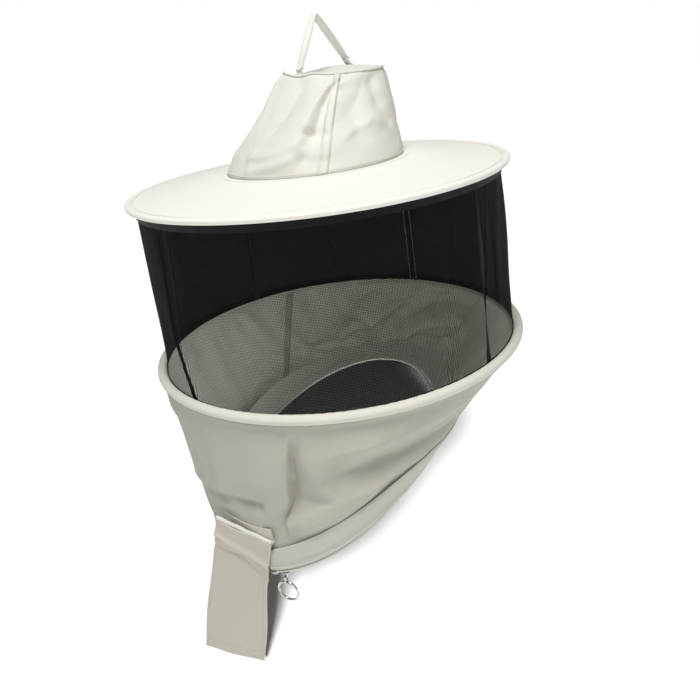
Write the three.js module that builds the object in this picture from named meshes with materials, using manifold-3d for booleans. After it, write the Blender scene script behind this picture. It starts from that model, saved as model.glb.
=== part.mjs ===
// Round-hat veil hood of a beekeeping suit: a cotton crown on a stiff brim, a net cylinder hung from
// the brim, a covered hoop at its foot, and a cotton collar that narrows to a neck zip. A throat flap
// hangs over the ends of the zip. Millimetres, +Z up, the wearer faces -Y, and the origin is the
// centre of the brim's edge. An angle round the hood is counted from the front (-Y) towards +X.
import * as THREE from "three";
import Module from "manifold-3d";
import { mergeVertices } from "three/addons/utils/BufferGeometryUtils.js";

const wasm = await Module();
wasm.setup();

const DEG = Math.PI / 180;

// Driving sizes
const SEAT_GAP = 0.3; // between pieces that are sewn or pressed together
const SEAM_GAP = 0.8; // under a strip that bridges the panels of a twisted surface
const RUNNING_GAP = 0.45; // round pieces that slide or turn
const ROUND_STEPS = 48; // facets in a full turn of a turned ring
const CLOTH_STEP = 7.5; // degrees between the grid lines that all the cloth pieces share

const BRIM_RADIUS = 210; // over the bound edge
const BRIM_RISE = 12; // brim's middle layer, from its edge up to the head opening
const HEAD_RADIUS = 98; // crown's outside at its foot
const BOARD_THICK = 1.4;
const COVER_THICK = 0.8;
const EDGE_WIRE_RADIUS = 1.6;
const BINDING_THICK = 1;

const CROWN_TOP = 100; // height of the crown's shoulder
const CROWN_TOP_HALF_WIDTH = 52; // across, at the shoulder
const CROWN_TOP_HALF_LENGTH = 56; // front to back, at the shoulder
const CROWN_SET_BACK = 44; // the shoulder's centre lies this far behind the brim's centre
const CROWN_SHOULDER_ROUND = 0.12; // how much the sides curve in towards the shoulder
const CROWN_TIP_DOME = 8;
const CROWN_FRONT_SEAM = 52.5; // angle of the seams at both sides of the front panel
const CROWN_THICK = 1.4;
const SWEATBAND_HEIGHT = 26;
const SEAM_TAPE_WIDTH = 12;
const SEAM_TAPE_THICK = 1;

const LOOP_TAPE_WIDTH = 8;
const LOOP_TAPE_THICK = 1.6;
const LOOP_FRONT = -4; // places of the loop's two feet, front to back
const LOOP_BACK = 64;
const LOOP_APEX = [26, 161]; // front-to-back place and height of the loop's top
const LOOP_KNUCKLE_RADIUS = 2;
const LOOP_KNUCKLE_LENGTH = 6;
const LOOP_ANCHOR_THICK = 2;

const VEIL_INSET = 10; // from the brim's bound edge in to where the net is sewn under it
const VEIL_THICK = 0.8;
const VEIL_SIDE_SEAM = 97.5; // angle of the two side seams
const VEIL_BACK_SEAM = 195; // angle of the felled seam beside the centre back
const VEIL_HEM_HEIGHT = 10;

const HOOP_RADIUS = 213; // centre line of the hoop
const HOOP_HEIGHT = -192;
const HOOP_ROD_RADIUS = 2.6;
const FERRULE_WALL = 0.6;
const SLEEVE_SLACK = 0.75; // between the ferrule and the cotton sleeve
const HOOP_COVER_THICK = 1.1;
const HOOP_SPLICE = 202.5; // angle where the hoop's ends meet in their ferrule
const FERRULE_LENGTH = 40;

const NECK_RADIUS = 156; // centre line of the zip chain round the neck
const NECK_CENTRE = [17, -65, -325.5];
const NECK_TILT = 27.5; // the neck ring dips towards the throat
const NECK_SKEW = -12; // the soft collar hangs askew, its left side lower than its right
const COLLAR_THICK = 1.6;
const COLLAR_FRONT_SEAM = 37.5;
const COLLAR_SIDE_SEAM = 112.5;

const CHAIN_RADIUS = 2.2;
const TAPE_WIDTH = 14;
const TAPE_THICK = 1;
const PLACKET_WIDTH = 18;
const ZIP_START = 15; // angle of the box end
const ZIP_END = 0; // angle of the stop end
const SLIDER_REST = 21.5;
const SLIDER_LENGTH = 11;
const SLIDER_WALL = 1.6;
const SLIDER_MOUTH = 40; // the way the slider's open side faces, up from straight outwards
const SLIDER_HALF_MOUTH = 85; // wide enough for every slope that the tape has round the neck
const LUG_MARGIN = 1.2; // metal round the lug's hole
const LUG_THICK = 1.4;
const LUG_HOLE_RADIUS = 1.5;
const LINK_WIRE_RADIUS = 0.8;
const LINK_LENGTH = 6; // between the centres of its two round ends
const RING_RADIUS = 12; // centre line of the pull ring
const RING_WIRE_RADIUS = 1.2;

const FLAP_WIDTH = 73;
const FLAP_LENGTH = 208;
const FLAP_THICK = 2;
const FLAP_ANGLE = 9; // where the flap hangs
const FLAP_FACING = 17; // the way it faces, turned a little with the askew collar
const FLAP_LEAN = 16; // how far its top edge slopes down towards its right end
const FLAP_RISE = 56; // its top edge above the neck edge
const FLAP_HEM_RADIUS = 2.5;
const FLAP_STAND_OFF = 1.8; // more air behind the flap's hem than a running gap
const HOOK_PATCH = [50, 60];

// Colours
const COTTON = { color: 0xf6f2e6, roughness: 0.85, metalness: 0 };
const COTTON_SHADE = { color: 0xe4decb, roughness: 0.88, metalness: 0 };
const NET = { color: 0x141414, roughness: 0.6, metalness: 0 };
const BOARD = { color: 0xcfc7ae, roughness: 0.8, metalness: 0 };
const STEEL = { color: 0xb9bcc0, roughness: 0.3, metalness: 1 };
const NYLON = { color: 0xeeeadb, roughness: 0.45, metalness: 0 };
const HOOK = { color: 0xd9d3c2, roughness: 0.7, metalness: 0 };

const hood = new THREE.Group();

function addPiece(name, geometry, finish, holder = hood) {
  const mesh = new THREE.Mesh(geometry, new THREE.MeshStandardMaterial(finish));
  mesh.name = name;
  holder.add(mesh);
  return mesh;
}

function around(angle, radius, height) {
  return new THREE.Vector3(radius * Math.sin(angle * DEG), -radius * Math.cos(angle * DEG), height);
}

function mix(a, b, t) {
  return a + (b - a) * t;
}

// Joining and cutting

function toSolid(geometry) {
  const bare = new THREE.BufferGeometry();
  bare.setAttribute("position", geometry.getAttribute("position").clone());
  if (geometry.index) bare.setIndex(geometry.index.clone());
  const merged = mergeVertices(bare, 1e-3);
  return new wasm.Manifold(new wasm.Mesh({
    numProp: 3,
    vertProperties: new Float32Array(merged.getAttribute("position").array),
    triVerts: new Uint32Array(merged.index.array),
  }));
}

function fromSolid(solid) {
  const mesh = solid.getMesh();
  const geometry = new THREE.BufferGeometry();
  geometry.setAttribute("position", new THREE.BufferAttribute(mesh.vertProperties, 3));
  geometry.setIndex(new THREE.BufferAttribute(mesh.triVerts, 1));
  geometry.computeVertexNormals();
  return geometry;
}

// Sheets: a grid of points on a surface, thickened from one offset to another

function surfaceNormal(surface, u, v) {
  const step = 1e-3;
  const alongU = surface(u + step, v).sub(surface(u - step, v));
  const alongV = surface(u, v + step).sub(surface(u, v - step));
  return alongV.cross(alongU).normalize();
}

function signedVolume(points, faces) {
  let total = 0;
  for (let i = 0; i < faces.length; i += 3) {
    const [a, b, c] = [points[faces[i]], points[faces[i + 1]], points[faces[i + 2]]];
    total += a.dot(b.clone().cross(c)) / 6;
  }
  return total;
}

// across and along are [from, to, steps]; a full turn across closes on itself.
function sheet(surface, across, along, inner, outer, direction = null) {
  const [u0, u1, nu] = across;
  const [v0, v1, nv] = along;
  const closed = Math.abs(u1 - u0 - 360) < 1e-9;
  const columns = closed ? nu : nu + 1;
  const points = [];
  for (const offset of [inner, outer]) {
    for (let i = 0; i < columns; i++) {
      for (let j = 0; j <= nv; j++) {
        const u = mix(u0, u1, i / nu);
        const v = mix(v0, v1, j / nv);
        const normal = direction ? direction.clone() : surfaceNormal(surface, u, v);
        points.push(surface(u, v).addScaledVector(normal, offset));
      }
    }
  }
  const side = columns * (nv + 1);
  const at = (layer, i, j) => layer * side + (i % columns) * (nv + 1) + j;
  const faces = [];
  const quad = (a, b, c, d) => faces.push(a, b, c, a, c, d);
  for (let i = 0; i < nu; i++) {
    for (let j = 0; j < nv; j++) {
      quad(at(1, i, j), at(1, i, j + 1), at(1, i + 1, j + 1), at(1, i + 1, j));
      quad(at(0, i, j), at(0, i + 1, j), at(0, i + 1, j + 1), at(0, i, j + 1));
    }
    quad(at(0, i, 0), at(1, i, 0), at(1, i + 1, 0), at(0, i + 1, 0));
    quad(at(0, i, nv), at(0, i + 1, nv), at(1, i + 1, nv), at(1, i, nv));
  }
  if (!closed) {
    for (let j = 0; j < nv; j++) {
      quad(at(0, 0, j), at(0, 0, j + 1), at(1, 0, j + 1), at(1, 0, j));
      quad(at(0, nu, j), at(1, nu, j), at(1, nu, j + 1), at(0, nu, j + 1));
    }
  }
  if (signedVolume(points, faces) < 0) faces.reverse();
  const geometry = new THREE.BufferGeometry().setFromPoints(points);
  geometry.setIndex(faces);
  geometry.computeVertexNormals();
  return geometry;
}

// Rings: a closed section, [radius, height] points, turned round +Z

function turned(section, steps = ROUND_STEPS) {
  const profile = section.map(([radius, height]) => new THREE.Vector2(radius, height));
  profile.push(profile[0].clone());
  const geometry = new THREE.LatheGeometry(profile, steps);
  geometry.rotateX(Math.PI / 2);
  return outward(geometry);
}

function outward(geometry) {
  const bare = new THREE.BufferGeometry();
  bare.setAttribute("position", geometry.getAttribute("position").clone());
  if (geometry.index) bare.setIndex(geometry.index.clone());
  const merged = mergeVertices(bare, 1e-3);
  const place = merged.getAttribute("position");
  const points = [];
  for (let i = 0; i < place.count; i++) points.push(new THREE.Vector3().fromBufferAttribute(place, i));
  const faces = Array.from(merged.index.array);
  if (signedVolume(points, faces) < 0) faces.reverse();
  merged.setIndex(faces);
  merged.computeVertexNormals();
  return merged;
}

function circlePoints(radius, steps, centre = [0, 0], from = 0, to = 360) {
  const whole = to - from === 360;
  const points = [];
  for (let i = 0; i < (whole ? steps : steps + 1); i++) {
    const angle = mix(from, to, i / steps) * DEG;
    points.push([centre[0] + radius * Math.cos(angle), centre[1] + radius * Math.sin(angle)]);
  }
  return points;
}

// A C-shaped section with its mouth towards mouthAngle
function cSection(innerRadius, outerRadius, centre, mouthAngle, halfMouth, steps) {
  const from = mouthAngle + halfMouth;
  const to = mouthAngle + 360 - halfMouth;
  const outer = circlePoints(outerRadius, steps, centre, from, to);
  const inner = circlePoints(innerRadius, steps, centre, from, to);
  return outer.concat(inner.reverse());
}

// An arc bar: a flat section swept round part of a circle about +Z
class RoundArc extends THREE.Curve {
  constructor(radius, height, from, to) {
    super();
    Object.assign(this, { radius, height, from, to });
  }

  getPoint(t) {
    return around(mix(this.from, this.to, t), this.radius, this.height);
  }
}

function arcBar(section, radius, height, from, to, steps) {
  const shape = new THREE.Shape(section.map(([x, y]) => new THREE.Vector2(x, y)));
  const path = new RoundArc(radius, height, from, to);
  return outward(new THREE.ExtrudeGeometry(shape, { steps, extrudePath: path, bevelEnabled: false }));
}

// Brim: board between two covers, with a wire in its bound edge

const WIRE_CENTRE = BRIM_RADIUS - EDGE_WIRE_RADIUS - SEAT_GAP - COVER_THICK - BINDING_THICK;
const BRIM_LAYERS_END = WIRE_CENTRE - EDGE_WIRE_RADIUS - SEAT_GAP;
const BRIM_OPENING = HEAD_RADIUS - 5;
const COVER_INNER = BOARD_THICK / 2 + SEAT_GAP;
const COVER_OUTER = COVER_INNER + COVER_THICK;

function brimHeight(radius) {
  const t = (BRIM_LAYERS_END - radius) / (BRIM_LAYERS_END - HEAD_RADIUS);
  return BRIM_RISE * Math.min(Math.max(t, 0), 1) ** 1.15;
}

function brimLayer(low, high) {
  const radii = [BRIM_OPENING, mix(HEAD_RADIUS, BRIM_LAYERS_END, 0.4), BRIM_LAYERS_END];
  const top = radii.map((radius) => [radius, brimHeight(radius) + high]);
  const foot = radii.map((radius) => [radius, brimHeight(radius) + low]).reverse();
  return turned(top.concat(foot));
}

function buildBrim() {
  addPiece("brim_board", brimLayer(-BOARD_THICK / 2, BOARD_THICK / 2), BOARD);
  addPiece("brim_top_cover", brimLayer(COVER_INNER, COVER_OUTER), COTTON);
  addPiece("brim_under_cover", brimLayer(-COVER_OUTER, -COVER_INNER), COTTON);
  addPiece("brim_edge_wire", turned(circlePoints(EDGE_WIRE_RADIUS, 6, [WIRE_CENTRE, 0])), STEEL);
  const bindingInner = COVER_OUTER + SEAT_GAP + 0.7;
  const bindingOuter = bindingInner + BINDING_THICK;
  const mouth = Math.asin((COVER_OUTER + SEAT_GAP) / bindingInner) / DEG;
  const section = cSection(bindingInner, bindingOuter, [WIRE_CENTRE, 0], 180, mouth, 6);
  addPiece("brim_edge_binding", turned(section), COTTON);
}

// Crown: three side panels from the round head opening to a set-back oval shoulder, and a domed tip

const CROWN_FOOT = BRIM_RISE + COVER_OUTER - 0.1; // the brim has sloped down a little where they meet

function crownSide(angle, rise) {
  const foot = around(angle, HEAD_RADIUS - CROWN_THICK, CROWN_FOOT);
  const top = new THREE.Vector3(
    (CROWN_TOP_HALF_WIDTH - CROWN_THICK) * Math.sin(angle * DEG),
    CROWN_SET_BACK - (CROWN_TOP_HALF_LENGTH - CROWN_THICK) * Math.cos(angle * DEG),
    CROWN_TOP,
  );
  const inwards = mix(rise, rise ** 3, CROWN_SHOULDER_ROUND);
  const point = foot.clone().lerp(top, inwards);
  point.z = mix(foot.z, top.z, rise);
  return point;
}

const crownDown = (angle, down) => crownSide(angle, 1 - down);

function crownTip(u, v) {
  const x = CROWN_TOP_HALF_WIDTH * u * Math.sqrt(1 - v * v / 2);
  const y = -CROWN_TOP_HALF_LENGTH * v * Math.sqrt(1 - u * u / 2);
  return new THREE.Vector3(x, CROWN_SET_BACK + y, tipHeight(x, CROWN_SET_BACK + y));
}

function tipHeight(x, y) {
  const reach = (x / CROWN_TOP_HALF_WIDTH) ** 2 + ((y - CROWN_SET_BACK) / CROWN_TOP_HALF_LENGTH) ** 2;
  return CROWN_TOP + SEAT_GAP + CROWN_TIP_DOME * (1 - Math.min(reach, 1));
}

function crownPanel(name, from, to) {
  const halfGap = SEAT_GAP / 2 / HEAD_RADIUS / DEG;
  const across = [from + halfGap, to - halfGap, Math.round((to - from) / CLOTH_STEP)];
  const topDrop = CROWN_THICK * 0.8 / (CROWN_TOP - CROWN_FOOT); // keeps the leaning edge under the tip
  addPiece(name, sheet(crownDown, across, [topDrop, 1, 4], 0, CROWN_THICK), COTTON);
}

function buildCrown() {
  crownPanel("crown_front_panel", -CROWN_FRONT_SEAM, CROWN_FRONT_SEAM);
  crownPanel("crown_right_panel", CROWN_FRONT_SEAM, 180);
  crownPanel("crown_left_panel", 180, 360 - CROWN_FRONT_SEAM);
  const upward = new THREE.Vector3(0, 0, 1);
  addPiece("crown_tip", sheet(crownTip, [-1, 1, 8], [-1, 1, 8], 0, CROWN_THICK, upward), COTTON);
  const bandShare = SWEATBAND_HEIGHT / (CROWN_TOP - CROWN_FOOT);
  const inner = -SEAT_GAP - SEAM_TAPE_THICK;
  const footLift = 1.2 / (CROWN_TOP - CROWN_FOOT); // lifts the leaning band off the brim
  addPiece(
    "sweatband",
    sheet(crownDown, [0, 360, 360 / CLOTH_STEP], [1 - bandShare, 1 - footLift, 1], inner, -SEAT_GAP),
    COTTON_SHADE,
  );
  const halfTape = SEAM_TAPE_WIDTH / 2 / HEAD_RADIUS / DEG;
  const seams = [["right", CROWN_FRONT_SEAM], ["back", 180], ["left", 360 - CROWN_FRONT_SEAM]];
  for (const [name, angle] of seams) {
    const across = [angle - halfTape, angle + halfTape, 2];
    const down = [0.02, 1 - bandShare - 0.02, 4];
    const tapeInner = -SEAM_GAP - SEAM_TAPE_THICK;
    addPiece(`crown_seam_${name}`, sheet(crownDown, across, down, tapeInner, -SEAM_GAP), COTTON_SHADE);
  }
}

// Hanging loop: a bent tape that turns about a line through its two feet

function loopFoot(y) {
  const lift = CROWN_THICK + SEAT_GAP + LOOP_ANCHOR_THICK + RUNNING_GAP + LOOP_KNUCKLE_RADIUS;
  const reach = LOOP_KNUCKLE_LENGTH / 2;
  const highest = Math.max(tipHeight(0, y - reach), tipHeight(0, y + reach));
  return new THREE.Vector2(y, highest + lift);
}

function loopAnchor(name, y) {
  const patch = (u, v) => new THREE.Vector3(u, y - v, tipHeight(u, y - v));
  const low = CROWN_THICK + SEAT_GAP;
  const upward = new THREE.Vector3(0, 0, 1);
  const geometry = sheet(patch, [-2, 2, 1], [-4, 4, 2], low, low + LOOP_ANCHOR_THICK, upward);
  addPiece(name, geometry, COTTON);
}

function loopKnuckle(foot, along) {
  const knuckle = new THREE.CylinderGeometry(
    LOOP_KNUCKLE_RADIUS, LOOP_KNUCKLE_RADIUS, LOOP_KNUCKLE_LENGTH, 12,
  );
  const turn = Math.atan2(along.y, along.x);
  knuckle.rotateX(turn);
  knuckle.translate(0, foot.x, foot.y);
  return toSolid(knuckle);
}

function loopBand(front, back) {
  const apex = new THREE.Vector2(...LOOP_APEX);
  const half = LOOP_TAPE_THICK / 2;
  const leg = (foot) => apex.clone().sub(foot).normalize();
  const sideOf = (foot) => new THREE.Vector2(-leg(foot).y, leg(foot).x);
  const start = (foot) => foot.clone().addScaledVector(leg(foot), LOOP_KNUCKLE_RADIUS / 2);
  const outline = new THREE.Shape([
    start(front).addScaledVector(sideOf(front), half),
    apex.clone().addScaledVector(sideOf(front), half).addScaledVector(leg(front), -2),
    apex.clone().add(new THREE.Vector2(0, half)),
    apex.clone().addScaledVector(sideOf(back), -half).addScaledVector(leg(back), -2),
    start(back).addScaledVector(sideOf(back), -half),
    start(back).addScaledVector(sideOf(back), half),
    apex.clone().add(new THREE.Vector2(0, -half * 2)),
    start(front).addScaledVector(sideOf(front), -half),
  ]);
  const band = new THREE.ExtrudeGeometry(outline, { depth: LOOP_TAPE_WIDTH, bevelEnabled: false });
  band.translate(0, 0, -LOOP_TAPE_WIDTH / 2);
  const standUp = new THREE.Matrix4().set(0, 0, 1, 0, 1, 0, 0, 0, 0, 1, 0, 0, 0, 0, 0, 1);
  band.applyMatrix4(standUp);
  return toSolid(outward(band));
}

function buildLoop() {
  const front = loopFoot(LOOP_FRONT);
  const back = loopFoot(LOOP_BACK);
  const along = back.clone().sub(front);
  const loop = loopBand(front, back)
    .add(loopKnuckle(front, along))
    .add(loopKnuckle(back, along));
  addPiece("hanging_loop", fromSolid(loop), COTTON);
  loopAnchor("loop_anchor_front", LOOP_FRONT);
  loopAnchor("loop_anchor_back", LOOP_BACK);
}

// Veil: net panels between a cotton hem under the brim and a hem inside the hoop

const FERRULE_RADIUS = HOOP_ROD_RADIUS + RUNNING_GAP + FERRULE_WALL;
const HOOP_COVER_INNER = FERRULE_RADIUS + SLEEVE_SLACK;
const HOOP_COVER_OUTER = HOOP_COVER_INNER + HOOP_COVER_THICK;
const VEIL_TOP_RADIUS = BRIM_RADIUS - VEIL_INSET;
const VEIL_FOOT_RADIUS = HOOP_RADIUS - HOOP_COVER_OUTER - SEAT_GAP - VEIL_THICK;
const VEIL_TOP = brimHeight(VEIL_TOP_RADIUS) - COVER_OUTER - SEAT_GAP;
const VEIL_FOOT = HOOP_HEIGHT - 2;

function veilSurface(angle, height) {
  const share = (VEIL_TOP - height) / (VEIL_TOP - VEIL_FOOT);
  return around(angle, mix(VEIL_TOP_RADIUS, VEIL_FOOT_RADIUS, share), height);
}

const veilDown = (angle, depth) => veilSurface(angle, -depth);

function buildVeil() {
  const hemTop = -VEIL_TOP + 0.2;
  const netTop = hemTop + VEIL_HEM_HEIGHT + SEAT_GAP;
  const netFoot = -VEIL_FOOT - VEIL_HEM_HEIGHT - SEAT_GAP;
  const turn = [0, 360, 360 / CLOTH_STEP];
  addPiece(
    "veil_top_hem",
    sheet(veilDown, turn, [hemTop, hemTop + VEIL_HEM_HEIGHT, 1], 0, VEIL_THICK),
    COTTON_SHADE,
  );
  const halfGap = SEAT_GAP / 2 / VEIL_TOP_RADIUS / DEG;
  const panels = [
    ["veil_front_panel", -VEIL_SIDE_SEAM, VEIL_SIDE_SEAM],
    ["veil_right_panel", VEIL_SIDE_SEAM, VEIL_BACK_SEAM],
    ["veil_left_panel", VEIL_BACK_SEAM, 360 - VEIL_SIDE_SEAM],
  ];
  for (const [name, from, to] of panels) {
    const across = [from + halfGap, to - halfGap, Math.round((to - from) / CLOTH_STEP)];
    addPiece(name, sheet(veilDown, across, [netTop, netFoot, 1], 0, VEIL_THICK), NET);
  }
  const halfTape = SEAM_TAPE_WIDTH / 2 / VEIL_TOP_RADIUS / DEG;
  const seams = [
    ["veil_seam_right", VEIL_SIDE_SEAM],
    ["veil_seam_back", VEIL_BACK_SEAM],
    ["veil_seam_left", 360 - VEIL_SIDE_SEAM],
  ];
  for (const [name, angle] of seams) {
    const across = [angle - halfTape, angle + halfTape, 2];
    const inner = -SEAM_GAP - VEIL_THICK;
    addPiece(name, sheet(veilDown, across, [netTop, netFoot, 1], inner, -SEAM_GAP), NET);
  }
  addPiece(
    "veil_bottom_hem",
    sheet(veilDown, turn, [netFoot + SEAT_GAP, -VEIL_FOOT, 1], 0, VEIL_THICK),
    NET,
  );
}

// Hoop: a sprung rod joined by a ferrule, inside a sewn cotton sleeve

function buildHoop() {
  const halfSplice = 1 / HOOP_RADIUS / DEG;
  const rod = arcBar(
    circlePoints(HOOP_ROD_RADIUS, 6), HOOP_RADIUS, HOOP_HEIGHT,
    HOOP_SPLICE + halfSplice, HOOP_SPLICE + 360 - halfSplice, 360 / CLOTH_STEP,
  );
  addPiece("hoop_core", rod, STEEL);
  const halfFerrule = FERRULE_LENGTH / 2 / HOOP_RADIUS / DEG;
  const tube = new THREE.Shape(circlePoints(FERRULE_RADIUS, 12).map((p) => new THREE.Vector2(...p)));
  const bore = circlePoints(FERRULE_RADIUS - FERRULE_WALL, 12);
  tube.holes.push(new THREE.Path(bore.map((p) => new THREE.Vector2(...p))));
  const path = new RoundArc(HOOP_RADIUS, HOOP_HEIGHT, HOOP_SPLICE - halfFerrule, HOOP_SPLICE + halfFerrule);
  const ferrule = new THREE.ExtrudeGeometry(tube, { steps: 4, extrudePath: path, bevelEnabled: false });
  addPiece("hoop_ferrule", outward(ferrule), STEEL);
  const section = cSection(HOOP_COVER_INNER, HOOP_COVER_OUTER, [HOOP_RADIUS, HOOP_HEIGHT], 270, 4, 9);
  addPiece("hoop_cover", turned(section), COTTON);
}

// Collar: ruled cotton panels from the hoop down to the tilted neck ring

const neckFrame = new THREE.Group();
neckFrame.position.set(...NECK_CENTRE);
neckFrame.rotation.set(NECK_TILT * DEG, NECK_SKEW * DEG, 0, "YXZ");
neckFrame.updateMatrixWorld();
hood.add(neckFrame);

function neckPoint(angle) {
  return around(angle, NECK_RADIUS, 0).applyMatrix4(neckFrame.matrixWorld);
}

function hoopPoint(angle) {
  return around(angle, HOOP_RADIUS - 1, HOOP_HEIGHT - HOOP_COVER_OUTER - SEAT_GAP);
}

// The collar's whole rise from the neck ring to the hoop, measured square to the neck edge
function collarRise(angle) {
  const edge = neckPoint(angle + 0.5).sub(neckPoint(angle - 0.5)).normalize();
  const whole = hoopPoint(angle).sub(neckPoint(angle));
  return whole.addScaledVector(edge, -whole.dot(edge)).length();
}

// The point on the collar that lies this far up from the neck ring
function collarPoint(angle, up) {
  return neckPoint(angle).lerp(hoopPoint(angle), up / collarRise(angle));
}

// Share 0 is at the hoop and share 1 at the given rise above the neck ring
function collarDown(rise) {
  return (angle, share) => collarPoint(angle, mix(collarRise(angle), rise, share));
}

const TAPE_FOOT = CHAIN_RADIUS + SEAT_GAP + 0.1;
const TAPE_TOP = TAPE_FOOT + TAPE_WIDTH;
const PLACKET_FOOT = TAPE_TOP - 4;

function collarBand(low, high) {
  return (angle, share) => collarPoint(angle, mix(high, low, share));
}

function buildCollar() {
  const surface = collarDown(TAPE_TOP + SEAT_GAP);
  const panels = [
    ["collar_front_panel", -COLLAR_FRONT_SEAM, COLLAR_FRONT_SEAM],
    ["collar_right_panel", COLLAR_FRONT_SEAM, COLLAR_SIDE_SEAM],
    ["back_yoke", COLLAR_SIDE_SEAM, 360 - COLLAR_SIDE_SEAM],
    ["collar_left_panel", 360 - COLLAR_SIDE_SEAM, 360 - COLLAR_FRONT_SEAM],
  ];
  const halfGap = SEAT_GAP / 2 / NECK_RADIUS / DEG;
  for (const [name, from, to] of panels) {
    const across = [from + halfGap, to - halfGap, Math.round((to - from) / CLOTH_STEP)];
    addPiece(name, sheet(surface, across, [0, 1, 3], 0, COLLAR_THICK), COTTON_SHADE);
  }
  const halfTape = SEAM_TAPE_WIDTH / 2 / HOOP_RADIUS / DEG;
  const seams = [
    ["collar_seam_front_right", COLLAR_FRONT_SEAM],
    ["collar_seam_back_right", COLLAR_SIDE_SEAM],
    ["collar_seam_back_left", 360 - COLLAR_SIDE_SEAM],
    ["collar_seam_front_left", 360 - COLLAR_FRONT_SEAM],
  ];
  const seamSurface = collarDown(PLACKET_FOOT + PLACKET_WIDTH + SEAT_GAP);
  for (const [name, angle] of seams) {
    const across = [angle - halfTape, angle + halfTape, 2];
    const inner = -SEAM_GAP - SEAM_TAPE_THICK;
    addPiece(name, sheet(seamSurface, across, [0.02, 1, 3], inner, -SEAM_GAP), COTTON_SHADE);
  }
}

// Neck zip: coil chain, tape, outer placket and inner facing, with a box and a stop at its ends

function buildZip() {
  const steps = (ZIP_END + 360 - ZIP_START) / CLOTH_STEP;
  const run = [ZIP_START, ZIP_END + 360, steps];
  const tape = sheet(collarBand(TAPE_FOOT, TAPE_TOP), run, [0, 1, 1], SEAT_GAP, SEAT_GAP + TAPE_THICK);
  addPiece("zip_tape", tape, NYLON);
  const placket = collarBand(PLACKET_FOOT, PLACKET_FOOT + PLACKET_WIDTH);
  const outside = COLLAR_THICK + SEAM_GAP;
  addPiece("zip_placket", sheet(placket, run, [0, 1, 1], outside, outside + TAPE_THICK), COTTON);
  addPiece("zip_facing", sheet(placket, run, [0, 1, 1], -SEAM_GAP - TAPE_THICK, -SEAM_GAP), COTTON_SHADE);
  const endPiece = 6 / NECK_RADIUS / DEG;
  const gap = SEAT_GAP / NECK_RADIUS / DEG;
  const chain = arcBar(
    circlePoints(CHAIN_RADIUS, 6), NECK_RADIUS, 0,
    ZIP_START + endPiece + gap, ZIP_END + 360 - endPiece / 2 - gap, steps,
  );
  addPiece("zip_chain", chain, NYLON, neckFrame);
  const half = CHAIN_RADIUS;
  const block = [[-half, -half], [half, -half], [half, half], [-half, half]];
  addPiece("zip_box", arcBar(block, NECK_RADIUS, 0, ZIP_START, ZIP_START + endPiece, 2), STEEL, neckFrame);
  const stopFrom = ZIP_END + 360 - endPiece / 2;
  addPiece("zip_top_stop", arcBar(block, NECK_RADIUS, 0, stopFrom, ZIP_END + 360, 2), STEEL, neckFrame);
}

// Zip slider: a saddle round the chain with a lug below, a wire link in the lug and a ring in the link

const SLIDER_INNER = CHAIN_RADIUS + RUNNING_GAP;
const SLIDER_OUTER = SLIDER_INNER + SLIDER_WALL;
const LUG_DROP = SLIDER_OUTER + 1.8; // from the chain's centre down to the lug's hole
const LINK_HALF_WIDTH = LINK_WIRE_RADIUS + RING_WIRE_RADIUS + RUNNING_GAP;

function sliderSaddle() {
  const section = cSection(SLIDER_INNER, SLIDER_OUTER, [0, 0], SLIDER_MOUTH, SLIDER_HALF_MOUTH, 12);
  const shape = new THREE.Shape(section.map(([x, y]) => new THREE.Vector2(x, y)));
  const saddle = new THREE.ExtrudeGeometry(shape, { depth: SLIDER_LENGTH, bevelEnabled: false });
  saddle.translate(0, 0, -SLIDER_LENGTH / 2);
  const outAndUp = new THREE.Matrix4().set(0, 0, -1, 0, -1, 0, 0, -NECK_RADIUS, 0, 1, 0, 0, 0, 0, 0, 1);
  saddle.applyMatrix4(outAndUp);
  saddle.rotateZ(SLIDER_REST * DEG);
  saddle.applyMatrix4(neckFrame.matrixWorld);
  return toSolid(outward(saddle));
}

// The lug, link and ring hang plumb from the slider's place, in a frame that faces outwards
const hangFrame = new THREE.Group();
hangFrame.position.copy(neckPoint(SLIDER_REST));
hangFrame.rotation.z = SLIDER_REST * DEG;
hangFrame.updateMatrixWorld();
hood.add(hangFrame);

function sliderLug() {
  const outline = new THREE.Shape();
  const half = LUG_HOLE_RADIUS + LUG_MARGIN;
  const root = -SLIDER_INNER - 0.4 * SLIDER_WALL;
  outline.moveTo(-half, root);
  outline.lineTo(-half, -LUG_DROP);
  outline.absarc(0, -LUG_DROP, half, Math.PI, 2 * Math.PI, false);
  outline.lineTo(half, root);
  const hole = new THREE.Path();
  hole.absarc(0, -LUG_DROP, LUG_HOLE_RADIUS, 0, 2 * Math.PI, true);
  outline.holes.push(hole);
  const lug = new THREE.ExtrudeGeometry(outline, { depth: LUG_THICK, bevelEnabled: false, curveSegments: 8 });
  lug.translate(0, 0, -LUG_THICK / 2);
  lug.rotateX(Math.PI / 2);
  lug.applyMatrix4(hangFrame.matrixWorld);
  return toSolid(outward(lug));
}

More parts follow.
